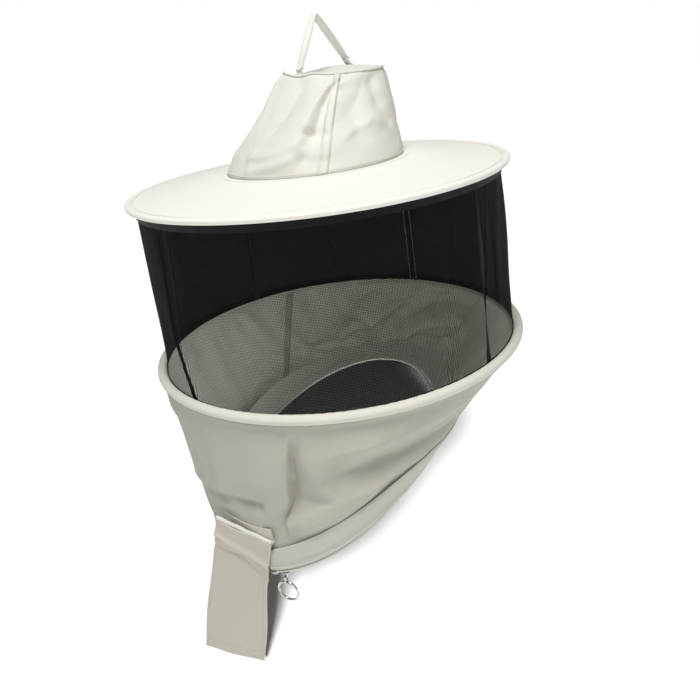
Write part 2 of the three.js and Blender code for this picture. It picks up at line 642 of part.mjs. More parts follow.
// A closed wire link in the plane that runs outwards and down
class LinkLine extends THREE.Curve {
  getPoint(t) {
    const halfTurn = Math.PI * LINK_HALF_WIDTH;
    const total = 2 * halfTurn + 2 * LINK_LENGTH;
    let s = (t % 1) * total;
    if (s < halfTurn) {
      const a = s / LINK_HALF_WIDTH;
      return new THREE.Vector3(0, -LINK_HALF_WIDTH * Math.cos(a), LINK_HALF_WIDTH * Math.sin(a));
    }
    s -= halfTurn;
    if (s < LINK_LENGTH) return new THREE.Vector3(0, LINK_HALF_WIDTH, -s);
    s -= LINK_LENGTH;
    if (s < halfTurn) {
      const a = s / LINK_HALF_WIDTH;
      return new THREE.Vector3(0, LINK_HALF_WIDTH * Math.cos(a), -LINK_LENGTH - LINK_HALF_WIDTH * Math.sin(a));
    }
    return new THREE.Vector3(0, -LINK_HALF_WIDTH, -LINK_LENGTH + (s - halfTurn));
  }
}

function closedWire(path, radius, steps, sides) {
  const points = [];
  const faces = [];
  for (let i = 0; i < steps; i++) {
    const centre = path.getPoint(i / steps);
    const tangent = path.getPoint((i + 0.5) / steps).sub(path.getPoint((i - 0.5 + steps) / steps)).normalize();
    const sideways = new THREE.Vector3(1, 0, 0);
    const other = tangent.clone().cross(sideways);
    for (let j = 0; j < sides; j++) {
      const a = (2 * Math.PI * j) / sides;
      points.push(centre.clone()
        .addScaledVector(sideways, radius * Math.cos(a))
        .addScaledVector(other, radius * Math.sin(a)));
      const [i2, j2] = [(i + 1) % steps, (j + 1) % sides];
      const [p, q, r, s] = [i * sides + j, i2 * sides + j, i2 * sides + j2, i * sides + j2];
      faces.push(p, q, r, p, r, s);
    }
  }
  if (signedVolume(points, faces) < 0) faces.reverse();
  const geometry = new THREE.BufferGeometry().setFromPoints(points);
  geometry.setIndex(faces);
  geometry.computeVertexNormals();
  return geometry;
}

const LINK_TOP = -LUG_DROP - LUG_HOLE_RADIUS + LINK_WIRE_RADIUS + 0.2 - LINK_HALF_WIDTH;
const LINK_FOOT = LINK_TOP - LINK_LENGTH - LINK_HALF_WIDTH;
const RING_TOP = LINK_FOOT + LINK_WIRE_RADIUS + RING_WIRE_RADIUS + 0.25;

function buildSlider() {
  addPiece("zip_slider", fromSolid(sliderSaddle().add(sliderLug())), STEEL);
  const link = closedWire(new LinkLine(), LINK_WIRE_RADIUS, 20, 6);
  addPiece("pull_link", link, STEEL, hangFrame).position.z = LINK_TOP;
  const ring = new THREE.TorusGeometry(RING_RADIUS, RING_WIRE_RADIUS, 6, 30);
  ring.rotateX(Math.PI / 2);
  addPiece("pull_ring", outward(ring), STEEL, hangFrame).position.z = RING_TOP - RING_RADIUS;
}

// Throat flap: a double cotton tongue on a piped hem, with a hook patch inside its lower end

const ANCHOR_THICK = 1.5;

const flapSide = new THREE.Group();
const flapFrame = new THREE.Group();

function placeFlap() {
  const stand = COLLAR_THICK + SEAT_GAP + ANCHOR_THICK + RUNNING_GAP + FLAP_HEM_RADIUS + FLAP_STAND_OFF;
  const outwards = around(FLAP_ANGLE, stand, 0);
  flapSide.position.copy(collarPoint(FLAP_ANGLE, FLAP_RISE).add(outwards));
  flapSide.rotation.z = FLAP_FACING * DEG;
  flapFrame.rotation.y = FLAP_LEAN * DEG;
  flapSide.add(flapFrame);
  hood.add(flapSide);
}

// A flat piece in the flap's plane, from one thickness to another
function flapPlate(halfWidth, top, foot, inner, outer, corner) {
  const outline = new THREE.Shape();
  outline.moveTo(-halfWidth, top);
  outline.lineTo(-halfWidth, foot + corner);
  outline.absarc(-halfWidth + corner, foot + corner, corner, Math.PI, 1.5 * Math.PI, false);
  outline.lineTo(halfWidth - corner, foot);
  outline.absarc(halfWidth - corner, foot + corner, corner, 1.5 * Math.PI, 2 * Math.PI, false);
  outline.lineTo(halfWidth, top);
  const settings = { depth: outer - inner, bevelEnabled: false, curveSegments: 3 };
  const plate = new THREE.ExtrudeGeometry(outline, settings);
  plate.rotateX(Math.PI / 2);
  plate.translate(0, outer, 0);
  return outward(plate);
}

function buildFlap() {
  placeFlap();
  const hem = new THREE.CylinderGeometry(FLAP_HEM_RADIUS, FLAP_HEM_RADIUS, FLAP_WIDTH, 12);
  hem.rotateZ(Math.PI / 2);
  addPiece("flap_top_hem", outward(hem), COTTON, flapFrame);
  const half = FLAP_THICK / 2;
  const panelTop = -FLAP_HEM_RADIUS - SEAT_GAP;
  const panel = flapPlate(FLAP_WIDTH / 2, panelTop, -FLAP_LENGTH, -half, half, 3);
  addPiece("flap_panel", panel, COTTON_SHADE, flapFrame);
  const inner = half + SEAT_GAP;
  const hemTop = -FLAP_LENGTH + 11;
  const footHem = flapPlate(FLAP_WIDTH / 2 - 1, hemTop, -FLAP_LENGTH + 1, inner, inner + 1, 3);
  addPiece("flap_foot_hem", footHem, COTTON_SHADE, flapFrame);
  const patchFoot = hemTop + 2;
  const patch = flapPlate(HOOK_PATCH[0] / 2, patchFoot + HOOK_PATCH[1], patchFoot, inner, inner + 1.4, 2);
  addPiece("flap_hook_patch", patch, HOOK, flapFrame);
  const reach = FLAP_WIDTH / 2 / (NECK_RADIUS + 20) / DEG;
  const lean = Math.tan(FLAP_LEAN * DEG) * (NECK_RADIUS + 20) * DEG;
  const strip = (angle, share) => {
    const middle = FLAP_RISE - (angle - FLAP_ANGLE) * lean;
    return collarPoint(angle, middle + mix(8, -8, share));
  };
  const inside = COLLAR_THICK + SEAT_GAP;
  const across = [FLAP_ANGLE - reach, FLAP_ANGLE + reach, 8];
  addPiece("flap_anchor_strip", sheet(strip, across, [0, 1, 1], inside, inside + ANCHOR_THICK), COTTON);
}

buildBrim();
buildCrown();
buildLoop();
buildVeil();
buildHoop();
buildCollar();
buildZip();
buildSlider();
buildFlap();

export default hood;
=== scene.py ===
"""A beekeeper's round-hat veil hood: a cotton crown on a stiff brim, a net veil hung from the brim,
a covered hoop at the veil's foot, a cotton collar down to a neck zip, and a throat flap with a pull
ring beside it. Metres; +Z is up, the wearer faces -Y, and angles run from the front towards +X."""

import math

import bpy
import numpy as np
from mathutils import Matrix, Vector, noise


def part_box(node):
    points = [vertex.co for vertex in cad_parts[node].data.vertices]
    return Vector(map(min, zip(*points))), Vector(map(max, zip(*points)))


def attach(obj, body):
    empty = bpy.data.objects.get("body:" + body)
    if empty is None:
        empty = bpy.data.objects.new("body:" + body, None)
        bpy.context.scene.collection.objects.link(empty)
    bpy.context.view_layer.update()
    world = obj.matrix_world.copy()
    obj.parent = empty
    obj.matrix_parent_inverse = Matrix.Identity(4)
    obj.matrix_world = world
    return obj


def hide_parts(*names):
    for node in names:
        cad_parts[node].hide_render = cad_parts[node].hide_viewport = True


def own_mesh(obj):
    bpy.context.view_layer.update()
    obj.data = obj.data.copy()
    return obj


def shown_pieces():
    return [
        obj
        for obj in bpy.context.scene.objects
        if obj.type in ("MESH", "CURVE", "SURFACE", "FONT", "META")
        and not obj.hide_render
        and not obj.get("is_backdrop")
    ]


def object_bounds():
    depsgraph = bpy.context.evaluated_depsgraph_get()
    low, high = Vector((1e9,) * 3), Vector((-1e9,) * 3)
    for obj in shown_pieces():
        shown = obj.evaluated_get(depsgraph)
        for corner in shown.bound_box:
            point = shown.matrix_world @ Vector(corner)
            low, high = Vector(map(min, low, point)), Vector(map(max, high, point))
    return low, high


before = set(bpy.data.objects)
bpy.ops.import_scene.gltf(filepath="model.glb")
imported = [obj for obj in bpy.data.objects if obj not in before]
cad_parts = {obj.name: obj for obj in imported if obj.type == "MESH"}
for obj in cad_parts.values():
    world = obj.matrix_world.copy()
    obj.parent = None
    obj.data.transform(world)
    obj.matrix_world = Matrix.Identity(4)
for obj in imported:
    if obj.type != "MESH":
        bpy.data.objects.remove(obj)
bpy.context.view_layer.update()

# ---------------------------------------------------------------------------------------------
# Brim. A stiff board between two layers of white cotton drill, held out flat by a spring wire in
# its edge. The edge is bound with a folded strip, and a row of stitches holds the binding on.
# ---------------------------------------------------------------------------------------------
BRIM_EDGE = 0.2063  # centre line of the wire in the edge
BRIM_EDGE_THICK = 0.00355
BRIM_COVER_START = 0.093
BRIM_COVER_END = 0.2046
BRIM_SLOPE_END = 0.2044
BRIM_RISE = 0.012
BRIM_COVER_STAND = 0.0018  # from the board's middle to the outer face of each cover
HEAD_RADIUS = 0.098
DRILL_WHITE = (0.88, 0.865, 0.80)
# The colour between the yarns: painted shade in the weave's gaps, and also the tone of the cloth's uneven
# patches.
DRILL_SHADE = (0.70, 0.68, 0.60)
THREAD_WHITE = (0.80, 0.785, 0.72)


def around(angle, radius, height):
    """The point at an angle in degrees round the hood."""
    a = math.radians(angle)
    return Vector((radius * math.sin(a), -radius * math.cos(a), height))


def straight_out(point):
    """The level direction from the hood's middle line to a point."""
    return Vector((point.x, point.y, 0)).normalized()


def signed_turn(angle):
    """An angle in degrees between -180 and 180."""
    return (angle + 180) % 360 - 180


def steps(start, end, count):
    """Values from start to end in count equal steps."""
    return [start + (end - start) * i / count for i in range(count + 1)]


def eased(t):
    """A smooth step from 0 to 1."""
    t = min(1.0, max(0.0, t))
    return t * t * (3 - 2 * t)


def tube_faces(rings, sides, closed):
    """The faces between rings of points that follow one another."""
    faces = []
    for i in range(rings if closed else rings - 1):
        n = (i + 1) % rings
        for j in range(sides):
            k = (j + 1) % sides
            faces.append((i * sides + j, i * sides + k, n * sides + k, n * sides + j))
    return faces


def sewn(name, points, faces, flat):
    """A smooth mesh whose flat coordinates are metres along the cloth."""
    mesh = bpy.data.meshes.new(name)
    mesh.from_pydata([tuple(p) for p in points], [], faces)
    layer = mesh.uv_layers.new(name="cloth")
    for loop in mesh.loops:
        layer.data[loop.index].uv = flat[loop.vertex_index]
    mesh.shade_smooth()
    piece = bpy.data.objects.new(name, mesh)
    bpy.context.scene.collection.objects.link(piece)
    return piece


def woven(name, surface, across, along, width, length, joined=False, turned=False):
    """A cloth grid over surface(a, b), with its cut size in metres as flat coordinates. Turned, its
    right side faces the other way."""
    columns, rows = len(across), len(along)
    points = [surface(a, b) for a in across for b in along]
    flat = [
        (width * i / (columns - 1), length * j / (rows - 1))
        for i in range(columns)
        for j in range(rows)
    ]
    faces = []
    for i in range(columns if joined else columns - 1):
        n = (i + 1) % columns
        for j in range(rows - 1):
            faces.append((i * rows + j, n * rows + j, n * rows + j + 1, i * rows + j + 1))
    if turned:
        faces = [tuple(reversed(face)) for face in faces]
    return sewn(name, points, faces, flat)


def thicken(piece, thickness, inwards=1.0):
    """Gives the cloth its thickness, to the inside of its outer face."""
    solid = piece.modifiers.new("cloth thickness", "SOLIDIFY")
    solid.thickness = thickness
    solid.offset = -inwards
    return piece


def bent_rod(name, path, radius, sides=12, closed=False, squeeze=1.0):
    """A round or flattened rod swept along a path of points."""
    points, flat = [], []
    count = len(path)
    run = 0.0
    up = Vector((0, 0, 1))
    for i, centre in enumerate(path):
        before = path[i - 1] if (closed or i > 0) else path[i]
        after = path[(i + 1) % count] if (closed or i < count - 1) else path[i]
        tangent = (after - before).normalized()
        side = tangent.cross(up)
        side = side.normalized() if side.length > 1e-3 else Vector((1, 0, 0))
        other = side.cross(tangent).normalized()
        if i:
            run += (centre - path[i - 1]).length
        for j in range(sides):
            a = 2 * math.pi * j / sides
            points.append(centre + side * radius * math.cos(a) + other * radius * squeeze * math.sin(a))
            flat.append((run, radius * a))
    faces = tube_faces(count, sides, closed)
    if not closed:
        faces.append(tuple(range(sides)))
        faces.append(tuple((count - 1) * sides + j for j in reversed(range(sides))))
    return sewn(name, points, faces, flat)


def even_run(path, step):
    """Points an even step apart along a path, each with its direction."""
    found, left = [], 0.0
    for a, b in zip(path, path[1:]):
        d = b - a
        length = d.length
        if length < 1e-9:
            continue
        d = d / length
        while left <= length:
            found.append((a + d * left, d))
            left += step
        left -= length
    return found


STITCH_LENGTH = 0.0026
STITCH_PITCH = 0.0035
STITCH_THREAD = 0.00032
# One stitch: share of its length, how far it stands up, and its thickness, both in thread radii
STITCH_SHAPE = ((-0.5, -0.25, 0.35), (-0.3, 0.7, 1), (0.0, 1.0, 1.1), (0.3, 0.7, 1), (0.5, -0.25, 0.35))


def stitches(name, path, outward, thread):
    """A row of lockstitches lying on the cloth: each is a short thread that dips in at both ends."""
    points, faces, flat = [], [], []
    for centre, d in even_run(path, STITCH_PITCH):
        n = outward(centre)
        side = d.cross(n).normalized()
        base = len(points)
        for t, lift, r in STITCH_SHAPE:
            for j in range(6):
                a = math.pi * j / 3
                points.append(
                    centre
                    + d * STITCH_LENGTH * t
                    + n * STITCH_THREAD * (lift + 0.75 * r * math.sin(a))
                    + side * STITCH_THREAD * r * math.cos(a)
                )
                flat.append((STITCH_LENGTH * t, STITCH_THREAD * a))
        for face in tube_faces(len(STITCH_SHAPE), 6, False):
            faces.append(tuple(base + corner for corner in (face[0], face[3], face[2], face[1])))
        faces.append(tuple(base + j for j in range(6)))
        faces.append(tuple(base + 24 + j for j in reversed(range(6))))
    row = sewn(name, points, faces, flat)
    row.data.materials.append(thread)
    return row


def node_group(name, inputs, outputs):
    """An empty shader group with named sockets, with its input and output nodes."""
    tree = bpy.data.node_groups.new(name, "ShaderNodeTree")
    for label, kind, value in inputs:
        socket = tree.interface.new_socket(name=label, in_out="INPUT", socket_type=kind)
        if value is not None:
            socket.default_value = value
    for label, kind in outputs:
        tree.interface.new_socket(name=label, in_out="OUTPUT", socket_type=kind)
    return tree, tree.nodes.new("NodeGroupInput"), tree.nodes.new("NodeGroupOutput")


def wire_up(tree, kind, links=(), **settings):
    """Adds a node, sets what is named, and joins what feeds it."""
    node = tree.nodes.new(kind)
    for key, value in settings.items():
        setattr(node, key, value)
    for socket, source in links:
        if isinstance(source, (int, float, tuple)):
            node.inputs[socket].default_value = source
        else:
            tree.links.new(source, node.inputs[socket])
    return node


def maths(tree, operation, *values, clamped=False):
    """The result of one sum on values or sockets."""
    return wire_up(
        tree, "ShaderNodeMath", list(enumerate(values)), operation=operation, use_clamp=clamped
    ).outputs[0]


def cloud(tree, place, scale, detail, *links, **settings):
    """Soft noise over a place."""
    sockets = [("Vector", place), ("Scale", scale), ("Detail", detail), *links]
    return wire_up(tree, "ShaderNodeTexNoise", sockets, **settings).outputs[0]


def mixed_colour(tree, share, first, second):
    """A colour between two, by a share."""
    sockets = [(0, share), (6, first), (7, second)]
    return wire_up(tree, "ShaderNodeMix", sockets, data_type="RGBA").outputs[2]


def stretched(tree, source, **ends):
    """A value mapped to another range, whose ends are named as on the node."""
    sockets = [("Value", source)] + [(end.replace("_", " "), value) for end, value in ends.items()]
    return wire_up(tree, "ShaderNodeMapRange", sockets).outputs[0]


def drill_weave():
    """Cotton drill: crossing threads with painted shade in the gaps between them, thicker yarns here and
    there, faint creases and handling marks.
    """
    tree, into, out = node_group(
        "drill weave",
        [
            ("Cloth", "NodeSocketVector", None),
            ("Threads per metre", "NodeSocketFloat", 1100.0),
            ("Yarn", "NodeSocketColor", (0.8, 0.8, 0.8, 1)),
            ("Between yarns", "NodeSocketColor", (0.5, 0.5, 0.5, 1)),
            ("Unevenness", "NodeSocketFloat", 0.2),
            ("Creasing", "NodeSocketFloat", 0.5),
        ],
        [("Color", "NodeSocketColor"), ("Height", "NodeSocketFloat"), ("Roughness", "NodeSocketFloat")],
    )
    cloth = into.outputs["Cloth"]
    scaled = wire_up(tree, "ShaderNodeVectorMath", [(0, cloth)], operation="SCALE")
    tree.links.new(into.outputs["Threads per metre"], scaled.inputs["Scale"])
    split = wire_up(tree, "ShaderNodeSeparateXYZ", [(0, scaled.outputs[0])])
    ridges, cells = [], []
    for axis in (0, 1):
        wave = maths(tree, "SINE", maths(tree, "MULTIPLY", split.outputs[axis], math.pi))
        ridges.append(maths(tree, "ABSOLUTE", wave))
        cells.append(maths(tree, "FLOOR", split.outputs[axis]))
    over = maths(tree, "FLOORED_MODULO", maths(tree, "ADD", cells[0], cells[1]), 2.0)
    thread = wire_up(tree, "ShaderNodeMix", [(0, over), (2, ridges[0]), (3, ridges[1])]).outputs[0]
    slub = cloud(tree, cloth, 420.0, 2.0)
    broad = cloud(tree, cloth, 13.0, 5.0, ("Roughness", 0.6))
    crease = cloud(tree, cloth, 34.0, 3.0, ("Distortion", 1.6), noise_type="RIDGED_MULTIFRACTAL")
    worn = maths(tree, "MULTIPLY", broad, into.outputs["Unevenness"])
    # Painted shade: the gaps between the yarns darken towards the Between yarns colour. The broad mottle
    # added to it is the cloth's own uneven tone.
    dark = maths(tree, "MULTIPLY_ADD", thread, -0.45, 0.45)
    mask = maths(tree, "ADD", dark, worn, clamped=True)
    colour = mixed_colour(tree, mask, into.outputs["Yarn"], into.outputs["Between yarns"])
    bump = maths(tree, "MULTIPLY_ADD", slub, 0.5, thread)
    folds = maths(tree, "MULTIPLY", crease, into.outputs["Creasing"])
    tree.links.new(colour, out.inputs["Color"])
    tree.links.new(maths(tree, "MULTIPLY_ADD", folds, 1.6, bump), out.inputs["Height"])
    tree.links.new(stretched(tree, broad, To_Min=0.78, To_Max=0.92), out.inputs["Roughness"])
    return tree


DRILL_WEAVE = drill_weave()


def new_finish(name):
    """An empty material, its shader, and its texture coordinates."""
    finish = bpy.data.materials.new(name)
    finish.use_nodes = True
    tree = finish.node_tree
    return finish, tree, tree.nodes["Principled BSDF"], tree.nodes.new("ShaderNodeTexCoord").outputs


def raise_surface(tree, shader, height, strength, distance):
    """Lets a height show as relief on the shader."""
    bump = tree.nodes.new("ShaderNodeBump")
    bump.inputs["Strength"].default_value = strength
    bump.inputs["Distance"].default_value = distance
    tree.links.new(height, bump.inputs["Height"])
    tree.links.new(bump.outputs[0], shader.inputs["Normal"])


def cotton(name, yarn, between, threads=1100.0, unevenness=0.2, creasing=0.5, on_cad=False):
    """A cotton finish: the weave on the cloth's own flat coordinates, with a soft sheen."""
    finish, tree, shader, place = new_finish(name)
    weave = tree.nodes.new("ShaderNodeGroup")
    weave.node_tree = DRILL_WEAVE
    tree.links.new(place["Object" if on_cad else "UV"], weave.inputs["Cloth"])
    weave.inputs["Threads per metre"].default_value = threads
    weave.inputs["Yarn"].default_value = (*yarn, 1)
    weave.inputs["Between yarns"].default_value = (*between, 1)
    weave.inputs["Unevenness"].default_value = unevenness
    weave.inputs["Creasing"].default_value = creasing
    raise_surface(tree, shader, weave.outputs["Height"], 0.35, 0.0004)
    tree.links.new(weave.outputs["Color"], shader.inputs["Base Color"])
    tree.links.new(weave.outputs["Roughness"], shader.inputs["Roughness"])
    shader.inputs["Sheen Weight"].default_value = 0.12
    shader.inputs["Sheen Roughness"].default_value = 0.5
    shader.inputs["Specular IOR Level"].default_value = 0.25
    return finish


def dress(piece, finish, slot, body, *stands_for):
    """Finishes a new piece, sets it on its body, and says what it stands for. The slot is not used."""
    if not piece.data.materials:
        piece.data.materials.append(finish)
    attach(piece, body)
    if stands_for:
        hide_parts(*stands_for)
    return piece


def finish_cad(node, finish):
    """Puts a finish on a CAD node that stays shown."""
    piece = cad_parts[node]
    piece.data.materials.clear()
    piece.data.materials.append(finish)
    return piece


HAT_DRILL = cotton("hat drill", DRILL_WHITE, DRILL_SHADE, unevenness=0.10, creasing=0.25)
HAT_THREAD = cotton("hat thread", THREAD_WHITE, DRILL_SHADE, threads=2600.0, unevenness=0.1, creasing=0.0)


def brim_height(radius):
    t = min(1.0, max(0.0, (BRIM_SLOPE_END - radius) / (BRIM_SLOPE_END - HEAD_RADIUS)))
    return BRIM_RISE * t**1.15


def brim_wave(angle):
    """The edge isn't quite flat: it rises and dips a hair round the brim."""
    a = math.radians(angle)
    return 0.00018 * math.sin(2 * a + 0.6) + 0.0001 * math.sin(5 * a)


def brim_point(angle, radius, offset):
    """A place on the brim, this far above its middle."""
    share = (radius - BRIM_COVER_START) / (BRIM_COVER_END - BRIM_COVER_START)
    return around(angle, radius, brim_height(radius) + offset + brim_wave(angle) * share)


def brim_layer(offset):
    def surface(angle, radius):
        pucker = 0.0001 * noise.noise(around(angle, radius, 0) * 60)
        return brim_point(angle, radius, offset) + Vector((0, 0, pucker))

    return surface


full_turn = [1.5 * i for i in range(240)]
brim_radii = steps(BRIM_COVER_START, BRIM_COVER_END, 18)
for name, offset, node in (
    ("brim_top_cloth", BRIM_COVER_STAND, "brim_top_cover"),
    ("brim_under_cloth", -BRIM_COVER_STAND, "brim_under_cover"),
):
    layer = brim_layer(offset)
    cover = woven(name, layer, full_turn, brim_radii, 1.28, 0.112, joined=True, turned=offset > 0)
    thicken(cover, 0.0008)
    dress(cover, HAT_DRILL, "hat_cotton", "hat", node)

edge_path = [around(a, BRIM_EDGE, brim_wave(a)) for a in full_turn]
edge = bent_rod("brim_bound_edge", edge_path, BRIM_EDGE_THICK, sides=16, closed=True, squeeze=0.94)
dress(edge, HAT_DRILL, "hat_cotton", "hat", "brim_edge_binding")

for name, radius in (("brim_edge_stitches", 0.2012), ("brim_crown_stitches", 0.1035)):
    path = [brim_point(0.75 * i, radius, BRIM_COVER_STAND + 0.00015) for i in range(481)]
    row = stitches(name, path, lambda p: Vector((0, 0, 1)), HAT_THREAD)
    dress(row, HAT_THREAD, "hat_cotton", "hat")

# ---------------------------------------------------------------------------------------------
# Crown. Soft cotton drill cut as a front panel, two side panels and a tip, joined by felled seams
# with two rows of stitches. It is unlined, so it stands in loose folds and its tip sags a little.
# ---------------------------------------------------------------------------------------------
CROWN_FOOT_RADIUS = 0.0966
CROWN_FOOT = 0.0137
CROWN_TOP = 0.100
CROWN_HALF_WIDTH = 0.0506
CROWN_HALF_LENGTH = 0.0546
CROWN_SET_BACK = 0.044
CROWN_SEAMS = (53.0, 180.0, 307.0)

CROWN_DRILL = cotton("crown drill", (0.73, 0.72, 0.655), (0.60, 0.58, 0.50), unevenness=0.16, creasing=0.6)

# Rows of the crown's folded front from its top down: (angle, share of the rise, mm out)
CROWN_FRONT = (
    (
        (-45, 1.01, 0), (12, 1.01, -2), (58, 1.01, 6), (62, 1.01, 4),
        (66, 1.01, 2), (86, 1.01, 1), (118, 1.01, 0),
    ),
    (
        (-45, 0.86, 0), (16, 0.86, -6), (46.5, 0.86, 9), (50, 0.86, 3),
        (54, 0.86, 4), (80, 0.84, -3), (118, 0.86, 0),
    ),
    (
        (-45, 0.66, 0), (12, 0.66, -7), (39.5, 0.67, 9), (46, 0.67, 0),
        (53, 0.66, 5), (73, 0.64, -3), (118, 0.64, 0),
    ),
    (
        (-45, 0.43, 0), (8, 0.43, -2), (36.2, 0.43, 9), (44, 0.42, -3),
        (53, 0.41, 5), (74, 0.40, 3), (118, 0.42, 0),
    ),
    (
        (-45, 0.24, 0), (5, 0.24, 2), (36, 0.25, 8), (44, 0.25, 3),
        (53, 0.24, 4), (80, 0.24, 1), (118, 0.24, 0),
    ),
    (
        (-45, 0.02, 0), (5, 0.02, 0), (34.5, 0.04, 1), (44, 0.03, 0),
        (53, 0.02, 0), (80, 0.02, 0), (118, 0.02, 0),
    ),
)

# Soft ridges (+) and hollows (-): points as (angle, share of the rise), height in mm, width in mm
CROWN_FOLDS = (
    (((0, 0.22), (14, 0.225), (25, 0.25), (33, 0.30)), 3.6, 5.0),
    (((2, 0.09), (14, 0.10), (24, 0.13), (33, 0.17)), 2.8, 4.2),
    (((38, 0.42), (44, 0.39), (52, 0.38)), -4.2, 4.0),
    (((38, 0.16), (45, 0.12), (52, 0.10)), -2.6, 4.5),
    (((56, 0.88), (68, 0.66), (88, 0.50), (104, 0.40)), 2.4, 6.0),
    (((60, 0.82), (74, 0.50), (78, 0.30)), -2.6, 8.0),
    (((66, 0.34), (74, 0.42), (84, 0.44)), 2.2, 4.0),
    (((96, 0.85), (104, 0.55), (112, 0.30)), -3.0, 10.0),
    (((-30, 0.9), (-22, 0.55), (-34, 0.2)), 3.0, 9.0),
    (((-70, 0.85), (-80, 0.5), (-74, 0.15)), -3.5, 11.0),
    (((-110, 0.8), (-120, 0.45), (-108, 0.12)), 3.5, 9.0),
    (((150, 0.88), (146, 0.5), (156, 0.2)), 3.0, 10.0),
    (((196, 0.9), (205, 0.5), (198, 0.15)), -3.2, 10.0),
    (((228, 0.85), (236, 0.5), (226, 0.2)), 3.0, 9.0),
)


def nearest_on_line(x, y, line):
    """Distance from a point to a polyline, all in mm on the flattened cloth."""
    best = 1e9
    for (ax, ay), (bx, by) in zip(line, line[1:]):
        dx, dy = bx - ax, by - ay
        t = max(0.0, min(1.0, ((x - ax) * dx + (y - ay) * dy) / (dx * dx + dy * dy + 1e-9)))
        best = min(best, math.hypot(x - ax - t * dx, y - ay - t * dy))
    return best


def fold_height(angle, share, folds, per_degree, tall):
    """How far folds push the cloth out at this place, in metres."""
    total = 0.0
    for line, height, width in folds:
        reach = 3 * width
        middle = sum(p[0] for p in line) / len(line)
        turn = signed_turn(angle - middle) + middle
        flat_line = [(p[0] * per_degree, p[1] * tall) for p in line]
        d = nearest_on_line(turn * per_degree, share * tall, flat_line)
        if d < reach:
            total += height * math.exp(-((d / width) ** 2))
    return total / 1000


def in_facet(x, y, a, b, c):
    """The height that a flat facet has at a place, or None outside it."""
    d = (b[1] - c[1]) * (a[0] - c[0]) + (c[0] - b[0]) * (a[1] - c[1])
    if abs(d) < 1e-12:
        return None
    u = ((b[1] - c[1]) * (x - c[0]) + (c[0] - b[0]) * (y - c[1])) / d
    v = ((c[1] - a[1]) * (x - c[0]) + (a[0] - c[0]) * (y - c[1])) / d
    w = 1 - u - v
    return None if min(u, v, w) < -1e-6 else u * a[2] + v * b[2] + w * c[2]


def facets_of(rows):
    """The flat facets between rows of fold points."""
    found = []
    for upper, lower in zip(rows, rows[1:]):
        for i in range(len(upper) - 1):
            found.append((upper[i], upper[i + 1], lower[i]))
            found.append((upper[i + 1], lower[i + 1], lower[i]))
    return found


def facet_push(turn, share, facets):
    """How far the folded facets stand out here, in metres."""
    for facet in facets:
        if min(p[0] for p in facet) <= turn <= max(p[0] for p in facet):
            found = in_facet(turn, share, *facet)
            if found is not None:
                return found / 1000
    return 0.0


CROWN_FACETS = facets_of(CROWN_FRONT)


def rim_rise(angle):
    """The limp rim of the tip stands higher at the front than behind."""
    turn = signed_turn(angle)
    return 0.0070 * math.exp(-(((turn + 34) / 36) ** 2)) + 0.0030 * math.exp(-(((turn - 26) / 15) ** 2))


def crown_side(angle, share):
    """The outer face of the crown's sides, from the brim (0) to the tip's rim (1)."""
    foot = around(angle, CROWN_FOOT_RADIUS, CROWN_FOOT)
    a = math.radians(angle)
    set_back = CROWN_SET_BACK - CROWN_HALF_LENGTH * math.cos(a)
    top = Vector((CROWN_HALF_WIDTH * math.sin(a), set_back, CROWN_TOP))
    lean = share + 0.12 * (share**3 - share)
    point = foot.lerp(top, lean)
    point.z = CROWN_FOOT + (CROWN_TOP - CROWN_FOOT) * share
    out = Vector((math.sin(a), -math.cos(a), 0.35)).normalized()
    edge = min(1.0, share / 0.06) * min(1.0, (1.0 - share) / 0.10 + 0.35)
    push = fold_height(angle, share, CROWN_FOLDS, 1.25, 100)
    push += facet_push(signed_turn(angle), share, CROWN_FACETS)
    push += 0.0012 * noise.noise(point * 26) + 0.0007 * noise.noise(point * 70)
    point.z += rim_rise(angle) * share**3
    # Low down the sweatband is behind the cloth, so hollows can't go in there
    if push < 0 and share < 0.42:
        push *= max(0.0, (share - 0.32) / 0.10)
    seam = min(abs(signed_turn(angle - s)) for s in CROWN_SEAMS)
    push -= 0.0003 * math.exp(-((seam / 1.3) ** 2))
    return point + out * (0.0012 + push * edge)


def tip_height(x, y):
    """The tip is a low dome that has sagged in two places."""
    u, v = x / 0.052, (y - CROWN_SET_BACK) / 0.056
    dome = 0.008 * (1 - min(1.0, u * u + v * v))
    sag = 0.0050 * math.exp(-((y - 0.026) ** 2 + (x - 0.004) ** 2) / 0.00024)
    sag += 0.0030 * math.exp(-((y - 0.060) ** 2 + (x - 0.026) ** 2) / 0.00022)
    return CROWN_TOP + 0.0003 + dome - sag


crown_shares = steps(0, 1, 34)


def degrees_between(start, end, step):
    return steps(start, end, max(2, round((end - start) / step)))


for name, start, end, node in (
    ("crown_front_cloth", -53.0, 53.0, "crown_front_panel"),
    ("crown_right_cloth", 53.0, 180.0, "crown_right_panel"),
    ("crown_left_cloth", 180.0, 307.0, "crown_left_panel"),
):
    angles = degrees_between(start, end, 1.5)
    width = math.radians(end - start) * 0.085
    panel = woven(name, crown_side, angles, crown_shares, width, 0.10)
    thicken(panel, 0.0011)
    dress(panel, CROWN_DRILL, "hat_cotton", "hat", node)


def crown_tip_surface(angle, share):
    rim = crown_side(angle, 1.0)
    middle = Vector((0, CROWN_SET_BACK, 0))
    point = Vector((rim.x, rim.y, 0)).lerp(middle, share)
    level = tip_height(point.x, point.y)
    soft = 0.0014 * noise.noise(point * 45) * min(1.0, 4 * share)
    # The rim rolls over to meet the sides
    blend = eased(share / 0.16)
    point.z = rim.z * (1 - blend) + (level + soft) * blend
    return point


